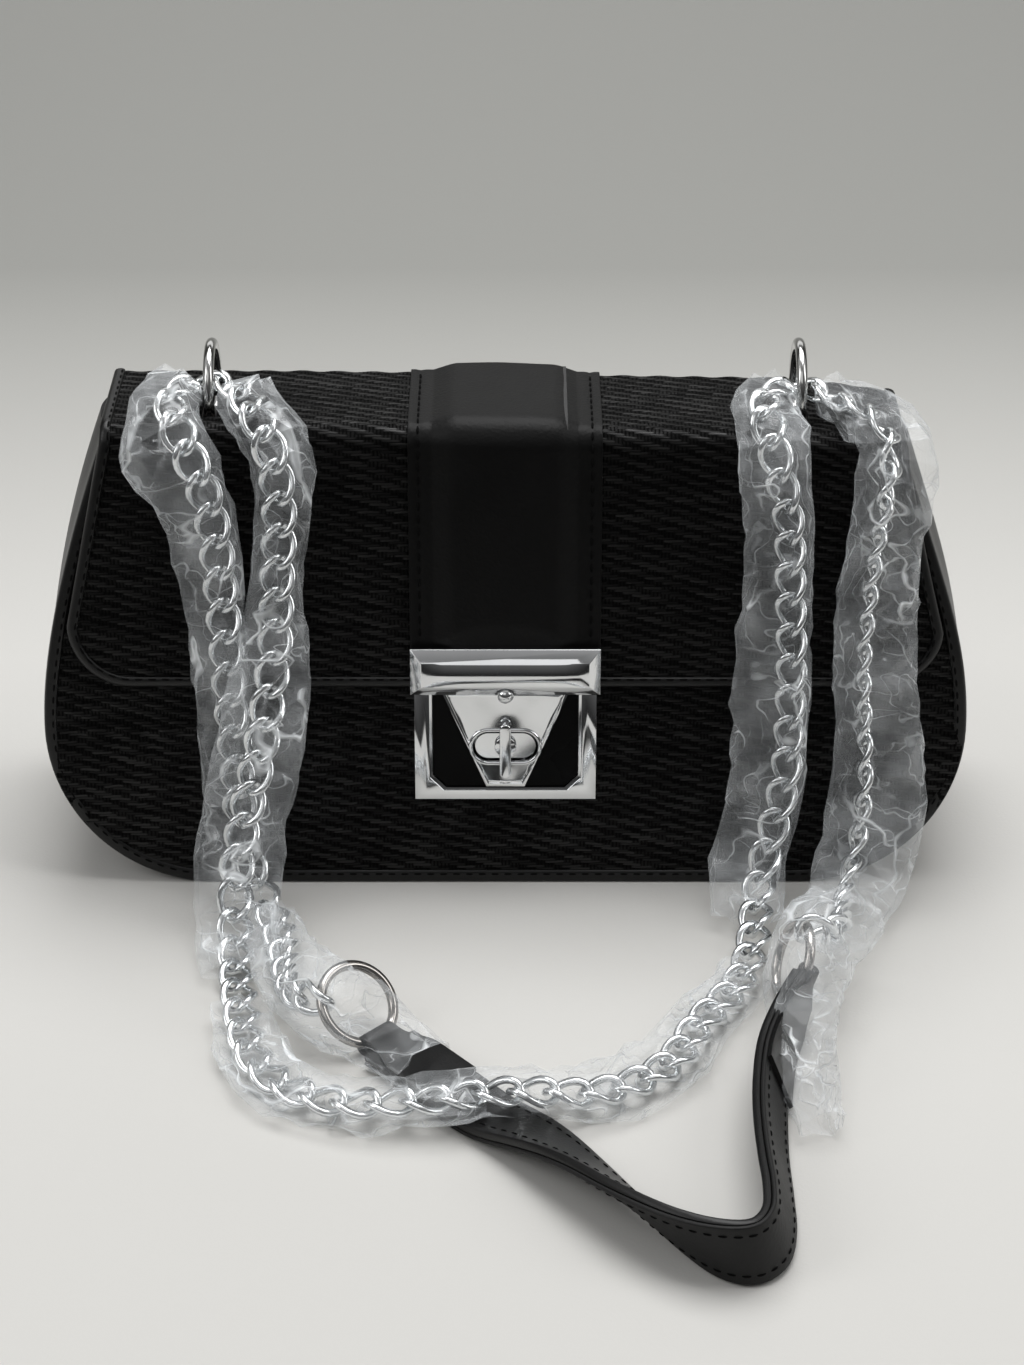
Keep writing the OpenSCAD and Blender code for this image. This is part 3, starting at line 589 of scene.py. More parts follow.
def draw_crinkle(board: Board, start: Node) -> dict:
    """Crinkled film: facets that each tilt their own way, and long folds between them, which the film
    shows as painted highlights.

    Args:
        board: The group's board.
        start: Its input node.

    Returns:
        The outputs' sockets by name.
    """
    place, rate = start.outputs["Place"], board.sum("DIVIDE", 1.0, start.outputs["Facet"])
    long = board.vector("MULTIPLY", place, (0.34, 1.0, 1.0))
    bend = board.add("TexNoise", {"Vector": place, "Scale": 55.0, "Detail": 2.0})
    push = board.vector("MULTIPLY", bend.outputs["Color"], (0.012, 0.012, 0.012))
    there = board.vector("ADD", long, push)
    facets = board.add("TexVoronoi", {"Vector": there, "Scale": rate})
    tilt = board.vector("SUBTRACT", facets.outputs["Color"], (0.5, 0.5, 0.5))
    offset = board.vector("SUBTRACT", there, facets.outputs["Position"])
    slope = board.add("VectorMath", {0: tilt, 1: offset}, operation="DOT_PRODUCT")
    lines = []
    for share, width in ((0.55, 0.012), (1.3, 0.016)):
        scale = board.sum("MULTIPLY", rate, share)
        wave = board.add("TexNoise",
                         {"Vector": there, "Scale": scale, "Detail": 1.5, "Roughness": 0.45})
        away = board.sum("ABSOLUTE", board.sum("SUBTRACT", wave.outputs["Fac"], 0.5))
        lines.append(board.spread(away, 0.0, width, (1.0, 0.0)))
    fold = board.sum("MAXIMUM", lines[0], board.sum("MULTIPLY", lines[1], 0.6))
    raised = board.sum("MULTIPLY", fold, 0.25)
    relief = board.sum("MULTIPLY_ADD", slope.outputs["Value"], rate, raised)
    return {"Relief": relief, "Fold": fold}


STRAW_TWILL = Effect(
    "straw_twill",
    (("Place", VECTOR, None), ("Pitch", FLOAT, PITCH), ("Repeat", FLOAT, REPEAT),
     ("Shift", FLOAT, SHIFT), ("Upright pitch", FLOAT, 0.0011), ("Drift", FLOAT, 0.0012)),
    (("Relief", FLOAT), ("Shade", FLOAT)), draw_straw)
LEATHER_GRAIN = Effect(
    "leather_grain", (("Place", VECTOR, None), ("Cell", FLOAT, 0.0007)),
    (("Relief", FLOAT), ("Mottle", FLOAT)), draw_grain)
METAL_SMUDGE = Effect(
    "metal_smudge", (("Place", VECTOR, None), ("Scale", FLOAT, 60.0)),
    (("Dull", FLOAT), ("Rub", FLOAT)), draw_smudge)
FILM_CRINKLE = Effect(
    "film_crinkle", (("Place", VECTOR, None), ("Facet", FLOAT, 0.006)),
    (("Relief", FLOAT), ("Fold", FLOAT)), draw_crinkle)


def new_finish(name: str, **plain: object) -> tuple[Material, Board, Node]:
    """Starts a material.

    Args:
        name: The material's name.
        plain: Constants for the shader's own sockets, with _ for a space.

    Returns:
        The material, its board and its shader.
    """
    material = bpy.data.materials.new(name)
    material.use_nodes = True
    board = Board(material.node_tree)
    shader = material.node_tree.nodes["Principled BSDF"]
    for label, value in plain.items():
        shader.inputs[label.replace("_", " ")].default_value = value
    return material, board, shader


def set_relief(board: Board, shader: Node, height: object, depth: float) -> None:
    """Feeds a height through a Bump node into a shader's normal."""
    bump = board.add("Bump", {"Height": height, "Strength": 1.0, "Distance": depth})
    board.feed(shader, "Normal", bump.outputs["Normal"])


def object_place(board: Board) -> Socket:
    """The object coordinates in a material."""
    return board.add("TexCoord").outputs["Object"]


def cut_place(board: Board) -> Socket:
    """Where a point lies on the flat material, from the piece's own map."""
    return board.add("UVMap", uv_map="cut").outputs["UV"]


@dataclass(frozen=True)
class Straw:
    """Black woven straw."""

    name: str = "black_straw"
    dark: float = 0.0002
    light: float = 0.0095
    sheen: float = 0.62
    relief: float = 0.0005

    def material(self) -> Material:
        """Builds the finish.

        Returns:
            The material.
        """
        made, board, shader = new_finish(
            self.name, Specular_IOR_Level=0.05, Coat_Roughness=0.34, Coat_IOR=1.4
        )
        straw = STRAW_TWILL.place(board, place=cut_place(board))
        # Base colour carries painted light: darker in the gaps between floats as painted shade, lighter
        # on random floats as painted glints.
        colour = board.tint(straw.outputs["Shade"], grey(self.dark), grey(self.light, 0.04))
        board.feed(shader, "Base Color", colour)
        gloss = board.spread(straw.outputs["Shade"], 0.0, 1.0, (0.72, 0.46))
        board.feed(shader, "Roughness", gloss)
        coat = board.spread(straw.outputs["Shade"], 0.05, 0.6, (0.0, self.sheen))
        board.feed(shader, "Coat Weight", coat)
        set_relief(board, shader, straw.outputs["Relief"], self.relief)
        return made


@dataclass(frozen=True)
class Leather:
    """Smooth semi-gloss leather."""

    name: str
    dark: float = 0.0018
    light: float = 0.0032
    cell: float = 0.0007
    relief: float = 0.00005
    rough: tuple[float, float] = (0.34, 0.44)
    coat: float = 0.08
    specular: float = 0.3

    def material(self) -> Material:
        """Builds the finish.

        Returns:
            The material.
        """
        made, board, shader = new_finish(
            self.name, Specular_IOR_Level=self.specular, Coat_Weight=self.coat, Coat_Roughness=0.3
        )
        grain = LEATHER_GRAIN.place(board, place=object_place(board), cell=self.cell)
        mottle = grain.outputs["Mottle"]
        board.feed(shader, "Base Color", board.tint(mottle, grey(self.dark), grey(self.light)))
        board.feed(shader, "Roughness", board.spread(mottle, 0.3, 0.7, self.rough))
        set_relief(board, shader, grain.outputs["Relief"], self.relief)
        return made


@dataclass(frozen=True)
class Metal:
    """Plated metal with faint smudges."""

    name: str
    colour: Colour
    rough: tuple[float, float]
    rub: float = 0.000002
    scale: float = 60.0

    def material(self) -> Material:
        """Builds the finish.

        Returns:
            The material.
        """
        made, board, shader = new_finish(self.name, Metallic=1.0)
        smudge = METAL_SMUDGE.place(board, place=object_place(board), scale=self.scale)
        dull = smudge.outputs["Dull"]
        darker = tuple(c * 0.9 for c in self.colour[:3]) + (1.0,)
        board.feed(shader, "Base Color", board.tint(dull, self.colour, darker))
        board.feed(shader, "Roughness", board.spread(dull, 0.0, 1.0, self.rough))
        set_relief(board, shader, smudge.outputs["Rub"], self.rub)
        return made


@dataclass(frozen=True)
class Cloth:
    """Matt cloth, board or foam with a fine even texture."""

    name: str
    dark: Colour
    light: Colour
    thread: float = 0.0006
    relief: float = 0.0001
    sheen: float = 0.0

    def material(self) -> Material:
        """Builds the finish.

        Returns:
            The material.
        """
        made, board, shader = new_finish(
            self.name, Roughness=0.85, Sheen_Weight=self.sheen, Specular_IOR_Level=0.12)
        place = object_place(board)
        weave = board.add("TexVoronoi", {"Vector": place, "Scale": 1 / self.thread,
                                         "Randomness": 0.35}, distance="CHEBYCHEV")
        slow = board.add("TexNoise", {"Vector": place, "Scale": 55.0, "Detail": 4.0})
        board.feed(shader, "Base Color", board.tint(slow.outputs["Fac"], self.dark, self.light))
        set_relief(board, shader, weave.outputs["Distance"], self.relief)
        return made


@dataclass(frozen=True)
class Film:
    """Clear crinkled protective film, which greys what lies under it a little; its pale veil, bright
    folds and bright edges are partly painted light.
    """

    name: str = "clear_film"
    haze_and_reflection: float = 0.13
    rim: float = 0.42
    folds: float = 0.85
    facet: float = 0.0075

    def material(self) -> Material:
        """Builds the finish.

        Returns:
            The material.
        """
        made, board, shader = new_finish(
            self.name, Base_Color=(0.86, 0.89, 0.91, 1.0), Roughness=0.16, Specular_IOR_Level=0.9
        )
        crinkle = FILM_CRINKLE.place(board, place=cut_place(board), facet=self.facet)
        # Painted reflection: the pale colour grows more opaque towards grazing angles, standing in for
        # the film's reflection at its edges.
        facing = board.add("LayerWeight", {"Blend": 0.35}).outputs["Facing"]
        rim = board.sum("MULTIPLY", board.sum("POWER", facing, 2.0), self.rim)
        # Painted highlights: the pale colour grows more opaque along the folds.
        fold = board.sum("MULTIPLY", crinkle.outputs["Fold"], self.folds)
        # The patchy veil is partly the film's own milkiness and partly a painted reflection of the
        # bright room.
        patch = board.add("TexNoise", {"Vector": object_place(board), "Scale": 60.0})
        patches = board.spread(patch.outputs["Fac"], 0.4, 0.66, (0.2, 1.0))
        veil = board.sum("MULTIPLY", board.sum("MULTIPLY_ADD", patches, 1.4, 0.25), self.haze_and_reflection)
        alpha = board.sum("ADD", board.sum("MULTIPLY_ADD", fold, patches, veil), rim)
        board.feed(shader, "Alpha", board.sum("MINIMUM", alpha, 0.9))
        set_relief(board, shader, crinkle.outputs["Relief"], 0.0012)
        return made


class Finishes:
    """Every finish of the bag, each built once."""

    def __init__(self) -> None:
        """Builds them all."""
        self.straw = Straw().material()
        self.leather = Leather("black_leather").material()
        self.band = Leather("band_leather", cell=0.0009, relief=0.00009, rough=(0.42, 0.5),
                            coat=0.04, specular=0.14).material()
        self.backing = Leather("backing_leather", dark=0.004, light=0.008, cell=0.0012,
                               rough=(0.5, 0.62), coat=0.0).material()
        self.thread = Cloth("black_thread", grey(0.0006), grey(0.0015), thread=0.0002,
                            relief=0.00004).material()
        self.lining = Cloth("lining_cloth", grey(0.012), grey(0.022), sheen=0.15).material()
        self.board = Cloth("grey_board", grey(0.14, 0.08), grey(0.2, 0.08), thread=0.0012).material()
        self.foam = Cloth("band_foam", grey(0.05), grey(0.08), thread=0.0008,
                          relief=0.0003).material()
        self.chrome = Metal("chrome", (0.77, 0.78, 0.79, 1.0), (0.05, 0.12)).material()
        self.inlay = Leather("black_inlay", dark=0.002, light=0.003, cell=0.003, relief=0.00001,
                             rough=(0.25, 0.32), coat=0.0, specular=0.08).material()
        self.fixing = Metal("fixing_steel", grey(0.5), (0.28, 0.4)).material()
        self.ring = Metal("ring_nickel", (0.56, 0.56, 0.55, 1.0), (0.12, 0.22)).material()
        self.pad_ring = Metal("pad_ring_nickel", (0.36, 0.34, 0.32, 1.0), (0.1, 0.2)).material()
        self.chain = Metal("chain_nickel", (0.8, 0.82, 0.83, 1.0), (0.13, 0.24),
                           scale=140.0).material()
        self.film = Film().material()


# Camera, floor and light


@dataclass
class Studio:
    """The camera at the photograph's angle, a pale sweep and soft light."""

    distance: float = 0.94
    elevation: float = 30.0
    target: tuple[float, float, float] = (0.002, 0.0, 0.048)
    focal_pixels: float = 3000.0
    picture_height: float = 1365.0
    sensor: float = 36.0
    floor_half: float = 3.0
    floor_back: float = 0.5
    sweep_radius: float = 0.9
    floor_front: float = -0.4
    # The paper's colour darkens from the near tone to the shaded far tone towards the back and up the
    # sweep: painted shade where less light reaches it.
    tone_span: tuple[float, float] = (0.1, 0.46)
    near_tone: Colour = (0.598, 0.59, 0.568, 1.0)
    shaded_far_tone: Colour = (0.308, 0.308, 0.293, 1.0)

    def camera(self) -> None:
        """Sets the camera."""
        data = bpy.data.cameras.new("camera")
        data.sensor_width = self.sensor
        data.lens = self.focal_pixels * self.sensor / self.picture_height
        data.clip_start = 0.05
        camera = bpy.data.objects.new("camera", data)
        lift = math.radians(self.elevation)
        back = Vector((0.0, -math.cos(lift), math.sin(lift))) * self.distance
        camera.location = Vector(self.target) + back
        camera.rotation_euler = (math.pi / 2 - lift, 0.0, 0.0)
        bpy.context.scene.collection.objects.link(camera)
        bpy.context.scene.camera = camera

    def floor(self) -> None:
        """Builds the floor, which sweeps up behind the object, its colour darkened towards the back as
        painted shade.
        """
        reach, r = self.floor_half, self.sweep_radius
        bend = [(self.floor_back + r * math.sin(a), r * (1 - math.cos(a)))
                for a in np.linspace(0.0, math.pi / 2, 25)]
        profile = [(self.floor_front, 0.0), *bend, (self.floor_back + r, reach)]
        points = np.array([[(x, y, z) for x in (-reach, reach)] for y, z in profile])
        sweep = grid_piece("sweep", points)
        shade(sweep, 60)
        made, board, shader = new_finish("sweep_paper", Roughness=0.9, Specular_IOR_Level=0.1)
        axes = board.add("SeparateXYZ", {0: object_place(board)})
        # Painted shade: the colour darkens with distance back along the sweep.
        depth = board.spread(axes.outputs[1], *self.tone_span, (0.0, 1.0))
        board.feed(shader, "Base Color", board.tint(depth, self.near_tone, self.shaded_far_tone))
        fibre = board.add("TexNoise", {"Vector": object_place(board), "Scale": 900.0})
        set_relief(board, shader, fibre.outputs["Fac"], 0.00005)
        sweep.data.materials.append(made)

    def lamp(self, name: str, place: tuple, aim: tuple, size: tuple, power: float) -> None:
        """Adds a soft lamp.

        Args:
            name: The lamp's name.
            place: Where it hangs.
            aim: The point that it faces.
            size: Its width and height.
            power: Its power in watts.
        """
        data = bpy.data.lights.new(name, "AREA")
        data.shape = "RECTANGLE"
        data.size, data.size_y = size
        data.energy = power
        lamp = bpy.data.objects.new(name, data)
        lamp.location = place
        lamp.rotation_euler = (Vector(aim) - Vector(place)).to_track_quat("-Z", "Y").to_euler()
        bpy.context.scene.collection.objects.link(lamp)

    def light(self) -> None:
        """Adds the lamps and the world's light."""
        self.lamp("top_box", (0.1, 0.25, 1.25), (0, 0.0, 0), (1.1, 0.8), 14.5)
        self.lamp("back_box", (0.0, 1.3, 0.82), (0, 0, 0.1), (1.6, 0.7), 3.6)
        self.lamp("front_box", (-0.3, -1.0, 1.1), (0, 0, 0), (0.9, 0.7), 1.5)
        self.lamp("left_box", (-1.1, -0.5, 0.9), (0, 0, 0.05), (0.6, 0.8), 4.0)
        self.lamp("right_box", (1.1, -0.3, 0.8), (0, 0, 0.05), (0.4, 0.8), 3.3)
        world = bpy.data.worlds.new("room")
        bpy.context.scene.world = world
        world.use_nodes = True
        board = Board(world.node_tree)
        sky = world.node_tree.nodes["Background"]
        axes = board.add("SeparateXYZ", {0: board.add("TexCoord").outputs["Generated"]})
        rise = board.spread(axes.outputs[2], -0.1, 0.8, (0.0, 1.0))
        behind = board.spread(axes.outputs[1], -0.5, 0.4, (0.25, 1.0))
        tone = board.sum("MULTIPLY", rise, behind)
        board.feed(sky, "Color", board.tint(tone, grey(0.03), grey(1.0)))
        sky.inputs["Strength"].default_value = 0.75

    def build(self) -> None:
        """Builds everything and sets how colours are shown."""
        self.camera()
        self.floor()
        self.light()
        bpy.context.scene.view_settings.view_transform = "Standard"


# The surfaces that the soft pieces follow


@dataclass(frozen=True)
class Shape:
    """The bag's main sizes, and the sag of everything soft at its upper right."""

    half_w: float = 0.14
    mouth_half: float = 0.118
    height: float = 0.142
    base_d: float = 0.08
    mouth_d: float = 0.036
    corner: float = 0.05
    rise: float = 0.0822
    sag_slope: float = 0.016
    sag_from: float = -0.06
    tip_sag: float = 0.0042
    tip_from: float = 0.075
    tip_reach: float = 0.043

    @property
    def slant(self) -> float:
        """How far the front leans back over each length of height."""
        return (self.base_d - self.mouth_d) / (2 * self.height)

    @property
    def lean(self) -> float:
        """The angle of the front from upright."""
        return math.atan(self.slant)

    def outline(self, inset: float, rounds: int = 16, sides: int = 80) -> Array:
        """The right half of the bag's outline from the front.

        Args:
            inset: How far inside the edge it runs.
            rounds: The steps round the lower corner.
            sides: The steps up the side.

        Returns:
            Points of width and height, from the base up to the mouth.
        """
        r, cx = self.corner - inset, self.half_w - self.corner
        a = np.linspace(-math.pi / 2, 0, rounds + 1)
        arc = np.stack([cx + r * np.cos(a), self.corner + r * np.sin(a)], axis=1)
        t = np.linspace(0, 1, sides + 1)[1:, None]
        wide, tip = self.half_w - inset, self.mouth_half - inset
        side = ((1 - t) ** 2 * [wide, self.corner] + 2 * t * (1 - t) * [wide, self.rise]
                + t * t * [tip, self.height])
        return np.vstack([arc, side])

    def sagged(self, points: Array) -> Array:
        """Lowers points as the soft bag sags towards its upper right corner.

        Args:
            points: Places on the even bag.

        Returns:
            The places on the sagged one.
        """
        x, z = points[..., 0], points[..., 2]
        drop = self.sag_slope * np.maximum(0.0, x - self.sag_from)
        drop = drop + self.tip_sag * np.maximum(0.0, (x - self.tip_from) / self.tip_reach) ** 2
        lower = points.copy()
        lower[..., 2] = z - drop * ease((z - 0.06) / 0.08)
        return lower

    def on_front(self, x: Array, z: Array, out: Array | float) -> Array:
        """Points of the front at widths and heights, moved out of its plane."""
        y = -self.base_d / 2 + z * self.slant - out / math.cos(self.lean)
        return self.sagged(np.stack(np.broadcast_arrays(x, y, z), axis=-1))

    def on_back(self, x: Array, z: Array, out: Array | float) -> Array:
        """Points of the back at widths and heights, moved out of its plane."""
        return self.on_front(x, z, out) * np.array([1.0, -1.0, 1.0])

    def side(self, front: bool) -> Callable[..., Array]:
        """The function that gives points of the front, or else of the back."""
        return self.on_front if front else self.on_back


@dataclass(frozen=True)
class Twill:
    """The woven straw's raised diagonals, in step with its finish."""

    middle: float = 0.32
    rise: float = 0.0002

    def relief(self, x: Array, up: Array) -> Array:
        """The height of the diagonals over the skin's mean face."""
        phase = (up / PITCH * SHIFT + x) / REPEAT
        return self.rise * np.cos(2 * math.pi * (phase - self.middle))


def marked(marks: Sequence[float], step: float) -> Array:
    """Even values from the first mark to the last one, with every mark among them.

    Args:
        marks: The values that stay.
        step: The largest step.

    Returns:
        The values.
    """
    parts = [np.linspace(a, b, max(1, math.ceil((b - a) / step)) + 1)[:-1]
             for a, b in zip(marks, marks[1:])]
    return np.concatenate([*parts, [marks[-1]]])


def settled(piece: Piece, towards: Sequence[float] | None = None) -> Piece:
    """Merges a piece's doubles and turns its faces out.

    Args:
        piece: The piece.
        towards: For an open sheet, the direction that its faces look in.

    Returns:
        The piece.
    """
    work = bmesh.new()
    work.from_mesh(piece.data)
    bmesh.ops.remove_doubles(work, verts=work.verts, dist=1e-6)
    bmesh.ops.recalc_face_normals(work, faces=work.faces)
    if towards is not None:
        look = sum((f.normal * f.calc_area() for f in work.faces), Vector())
        if look.dot(Vector(towards)) < 0:
            bmesh.ops.reverse_faces(work, faces=work.faces)
    work.to_mesh(piece.data)
    work.free()
    return piece


def loop_section(width: float, low: float, high: float, radius: float, crown: float = 0.0,
                 across: int = 10) -> Array:
    """The closed section of a flat strip with rounded edges.

    Args:
        width: Its width.
        low: The height of its lower face.
        high: The height of its upper face.
        radius: The radius of its edges.
        crown: How far the middle of the upper face rises.
        across: The steps over each face.

    Returns:
        Points of width and height, once round.
    """
    inner = width / 2 - radius
    spread = np.linspace(-inner, inner, across + 1)
    loop = [(x, low) for x in spread]
    for a in np.radians(np.arange(-60, 90, 30)):
        y = low + radius if a < 0 else high - radius
        loop.append((inner + radius * math.cos(a), y + radius * math.sin(a)))
    loop += [(x, high + crown * (1 - (x / inner) ** 2)) for x in spread[::-1]]
    for a in np.radians(np.arange(120, 270, 30)):
        y = high - radius if a < math.radians(165) else low + radius
        loop.append((-inner + radius * math.cos(a), y + radius * math.sin(a)))
    return np.array(loop)


def swept(name: str, centres: Array, wide: Array, thick: Array, section: Array) -> Piece:
    """Sweeps closed sections along a line and caps both ends.

    Args:
        name: The piece's name.
        centres: The line's points.
        wide: The direction of the section's first coordinate at each point.
        thick: The direction of its second one.
        section: The section's points, one set or one for each of the line's points.

    Returns:
        The piece, with its faces out.
    """
    loops = np.broadcast_to(section, (len(centres), *section.shape[-2:]))
    points = centres[:, None] + wide[:, None] * loops[..., :1] + thick[:, None] * loops[..., 1:]
    edge = runs(np.vstack([loops[0], loops[0][:1]]))
    cut = np.stack(np.broadcast_arrays(runs(centres)[:, None], edge[None]), axis=-1)
    return settled(grid_piece(name, points, cut, wrap=True, caps=True))


def bound_edge(name: str, line: Array, centre: Sequence[float], section: Array,
               surface: Callable[..., Array]) -> Piece:
    """Makes leather that binds an edge.

    Args:
        name: The piece's name.
        line: The edge, laid flat.
        centre: A point inside the edge.
        section: How far in and how high each point of the leather's section lies.
        surface: Gives the places of points laid flat, and of their heights.

    Returns:
        The piece.
    """
    place = line[:, None] + inward_of(line, centre)[:, None] * section[None, :, :1]
    high = np.broadcast_to(section[:, 1], place.shape[:2])
    points = surface(place[..., 0], place[..., 1], high)
    piece = settled(grid_piece(name, points, wrap=True, caps=True))
    shade(piece, 50)
    return piece


@dataclass(frozen=True)
class Stitch:
    """One stitch of waxed thread, lying half sunk in the leather."""

    length: float = 0.0027
    half_w: float = 0.00032
    half_h: float = 0.00026
    pitch: float = 0.004
    look: float = 0.0006
    sides: int = 6

    def row(self, name: str, line: Array, out: Array) -> Piece:
        """Lays stitches along a line.

        Args:
            name: The name of the row.
            line: Points of the line, on the surface.
            out: The surface's outward direction at each point.

        Returns:
            The row as one piece.
        """
        run = runs(line)
        count = max(1, round(run[-1] / self.pitch))
        at = (np.arange(count) + 0.5) * run[-1] / count
        both = along(np.hstack([line, out]), at)
        ahead = along(line, np.minimum(at + self.look, run[-1]))
        behind = along(line, np.maximum(at - self.look, 0.0))
        t, n = unit(ahead - behind), unit(both[:, 3:])
        side = unit(np.cross(n, t))
        reach = np.array([-0.5, -0.42, -0.2, 0.2, 0.42, 0.5]) * self.length
        girth = np.array([0.15, 0.7, 1.0, 1.0, 0.7, 0.15])
        sink = np.array([-1.2, -0.5, 0.25, 0.25, -0.5, -1.2]) * self.half_h
        a = np.arange(self.sides) * 2 * math.pi / self.sides
        ring = np.stack(np.broadcast_arrays(
            reach[:, None], girth[:, None] * self.half_w * np.cos(a),
            sink[:, None] + girth[:, None] * self.half_h * np.sin(a)), axis=-1).reshape(-1, 3)
        points = set_at(both[:, :3], t, side, n, ring)
        k, row = np.arange(self.sides), np.arange(len(reach) - 1)[:, None] * self.sides
        faces = np.stack(np.broadcast_arrays(
            row + k, row + self.sides + k, row + self.sides + (k + 1) % self.sides,
            row + (k + 1) % self.sides), axis=-1).reshape(-1, 4)
        piece = settled(copies(name, points, faces))
        shade(piece, 60)
        return piece


@dataclass
class Route:
    """A smooth curve through a table's points, with the values that go with them."""

    table: tuple[tuple[float, ...], ...]
    steps: int = 6
    line: Array = field(init=False)

    def __post_init__(self) -> None:
        """Works the curve out."""
        p = np.array(self.table)
        a, b, c, d = np.vstack([p[:1], p[:-2]]), p[:-1], p[1:], np.vstack([p[2:], p[-1:]])
        t = (np.arange(self.steps) / self.steps)[:, None, None]
        curve = 0.5 * (2 * b + (c - a) * t + (2 * a - 5 * b + 4 * c - d) * t**2
                       + (3 * b - a - 3 * c + d) * t**3)
        self.line = np.vstack([curve.transpose(1, 0, 2).reshape(-1, p.shape[1]), p[-1:]])

    @property
    def length(self) -> float:
        """The curve's length."""
        return float(runs(self.line[:, :3])[-1])

    def row_run(self, row: Array | float) -> Array:
        """How far along the curve a row of the table lies."""
        run = runs(self.line[:, :3])
        return np.interp(np.asarray(row) * self.steps, np.arange(len(run)), run)

    def at(self, s: Array) -> Array:
        """The curve's places and values at distances along it."""
        return along(self.line, np.asarray(s, float))


# Chain, pad and film


@dataclass
class Assembly:
    """A group of pieces that is built together."""

    shape: Shape
    finishes: Finishes


def chain_route() -> Route:
    """The chain's route: place, tilt of the surface under it, and roll of the links, in degrees.

    Returns:
        The route.
    """
    return Route((
        (-0.051, -0.124, 0.016, 0, 90), (-0.0565, -0.12, 0.0135, 0, 87),
        (-0.061, -0.113, 0.011, 0, 79), (-0.0635, -0.104, 0.008, 0, 66),
        (-0.0645, -0.093, 0.006, 0, 48), (-0.066, -0.082, 0.005, 0, 32),
        (-0.0685, -0.071, 0.0045, 0, 14), (-0.072, -0.061, 0.005, 10, 0),
        (-0.0765, -0.052, 0.0095, 50, 0), (-0.08, -0.046, 0.02, 80, 0), (-0.081, -0.043, 0.04, 82, 0),
        (-0.082, -0.04, 0.06, 82, 0), (-0.083, -0.0365, 0.08, 82, 0), (-0.084, -0.033, 0.1, 82, 0),
        (-0.086, -0.03, 0.122, 82, 0), (-0.09, -0.0285, 0.136, 72, 0),
        (-0.0945, -0.0245, 0.145, 48, 0), (-0.0975, -0.0175, 0.1495, 15, 0),
        (-0.0975, -0.0095, 0.151, 0, 0), (-0.094, -0.003, 0.151, 0, 0), (-0.087, 0, 0.151, 0, 0),
        (-0.08, -0.003, 0.151, 0, 0), (-0.0765, -0.0095, 0.151, 0, 0), (-0.074, -0.017, 0.15, 10, 0),
        (-0.07, -0.024, 0.1465, 40, 0), (-0.067, -0.0285, 0.138, 70, 0), (-0.066, -0.03, 0.122, 82, 0),
        (-0.0675, -0.033, 0.1, 82, 0), (-0.0685, -0.037, 0.08, 82, 0), (-0.072, -0.049, 0.058, 82, 0),
        (-0.077, -0.055, 0.038, 80, 0), (-0.0805, -0.061, 0.021, 65, 0),
        (-0.081, -0.071, 0.009, 30, 0), (-0.0795, -0.087, 0.004, 0, 0), (-0.077, -0.107, 0.004, 0, 0),
        (-0.072, -0.132, 0.004, 0, 0), (-0.062, -0.148, 0.004, 0, 0), (-0.044, -0.157, 0.005, 0, 0),
        (-0.027, -0.16, 0.008, 0, 0), (-0.016, -0.16, 0.009, 0, 0), (-0.006, -0.158, 0.0092, 0, 0),
        (0.004, -0.157, 0.009, 0, 0), (0.014, -0.156, 0.008, 0, 0), (0.028, -0.152, 0.005, 0, 0),
        (0.046, -0.139, 0.004, 0, 0), (0.057, -0.117, 0.004, 0, 0), (0.069, -0.099, 0.004, 0, 0),
        (0.074, -0.08, 0.006, 0, 16), (0.076, -0.062, 0.009, 30, 30), (0.079, -0.052, 0.019, 65, 38),
        (0.084, -0.046, 0.039, 82, 40), (0.085, -0.042, 0.06, 82, 40), (0.085, -0.038, 0.08, 82, 40),
        (0.084, -0.0345, 0.1, 82, 40), (0.083, -0.0315, 0.122, 82, 36), (0.08, -0.03, 0.136, 72, 30),
        (0.0775, -0.0255, 0.146, 48, 24), (0.076, -0.018, 0.151, 15, 18),
        (0.0765, -0.01, 0.152, 0, 12), (0.08, -0.003, 0.152, 0, 6), (0.087, 0, 0.152, 0, 0),
        (0.094, -0.003, 0.152, 0, 10), (0.099, -0.0085, 0.152, 0, 22), (0.1045, -0.014, 0.1525, 0, 36),
        (0.11, -0.0205, 0.152, 20, 52), (0.112, -0.0275, 0.1475, 48, 66),
        (0.111, -0.0315, 0.136, 75, 78), (0.109, -0.033, 0.122, 82, 86), (0.107, -0.036, 0.1, 82, 90),
        (0.106, -0.0395, 0.08, 82, 90), (0.107, -0.043, 0.06, 82, 90), (0.108, -0.046, 0.04, 78, 92),
        (0.107, -0.0495, 0.025, 70, 94), (0.1045, -0.0545, 0.0155, 55, 96),
        (0.102, -0.063, 0.0105, 25, 98), (0.0995, -0.075, 0.0105, 5, 102),
        (0.0985, -0.086, 0.0145, 0, 108), (0.0955, -0.0955, 0.02, 0, 114),
        (0.0855, -0.1015, 0.025, 0, 120),
    ))


def pad_route() -> Route:
    """The shoulder pad's route: place, and turn about its length in degrees.

    Returns:
        The route.
    """
    return Route((
        (-0.0345, -0.127, 0.002, 3), (-0.025, -0.137, 0.002, 2), (-0.014, -0.149, 0.0016, 0),
        (-0.004, -0.16, 0.0018, 2), (0.008, -0.172, 0.0045, 14), (0.02, -0.187, 0.0072, 34),
        (0.033, -0.204, 0.0088, 50), (0.045, -0.217, 0.0096, 66), (0.055, -0.224, 0.01, 82),
        (0.064, -0.225, 0.01, 94), (0.07, -0.219, 0.0102, 104), (0.072, -0.208, 0.0102, 110),
        (0.072, -0.194, 0.0102, 113), (0.072, -0.178, 0.0102, 113), (0.073, -0.162, 0.0102, 112),
        (0.075, -0.146, 0.0104, 108), (0.079, -0.131, 0.011, 100), (0.0855, -0.1145, 0.012, 92),
    ))


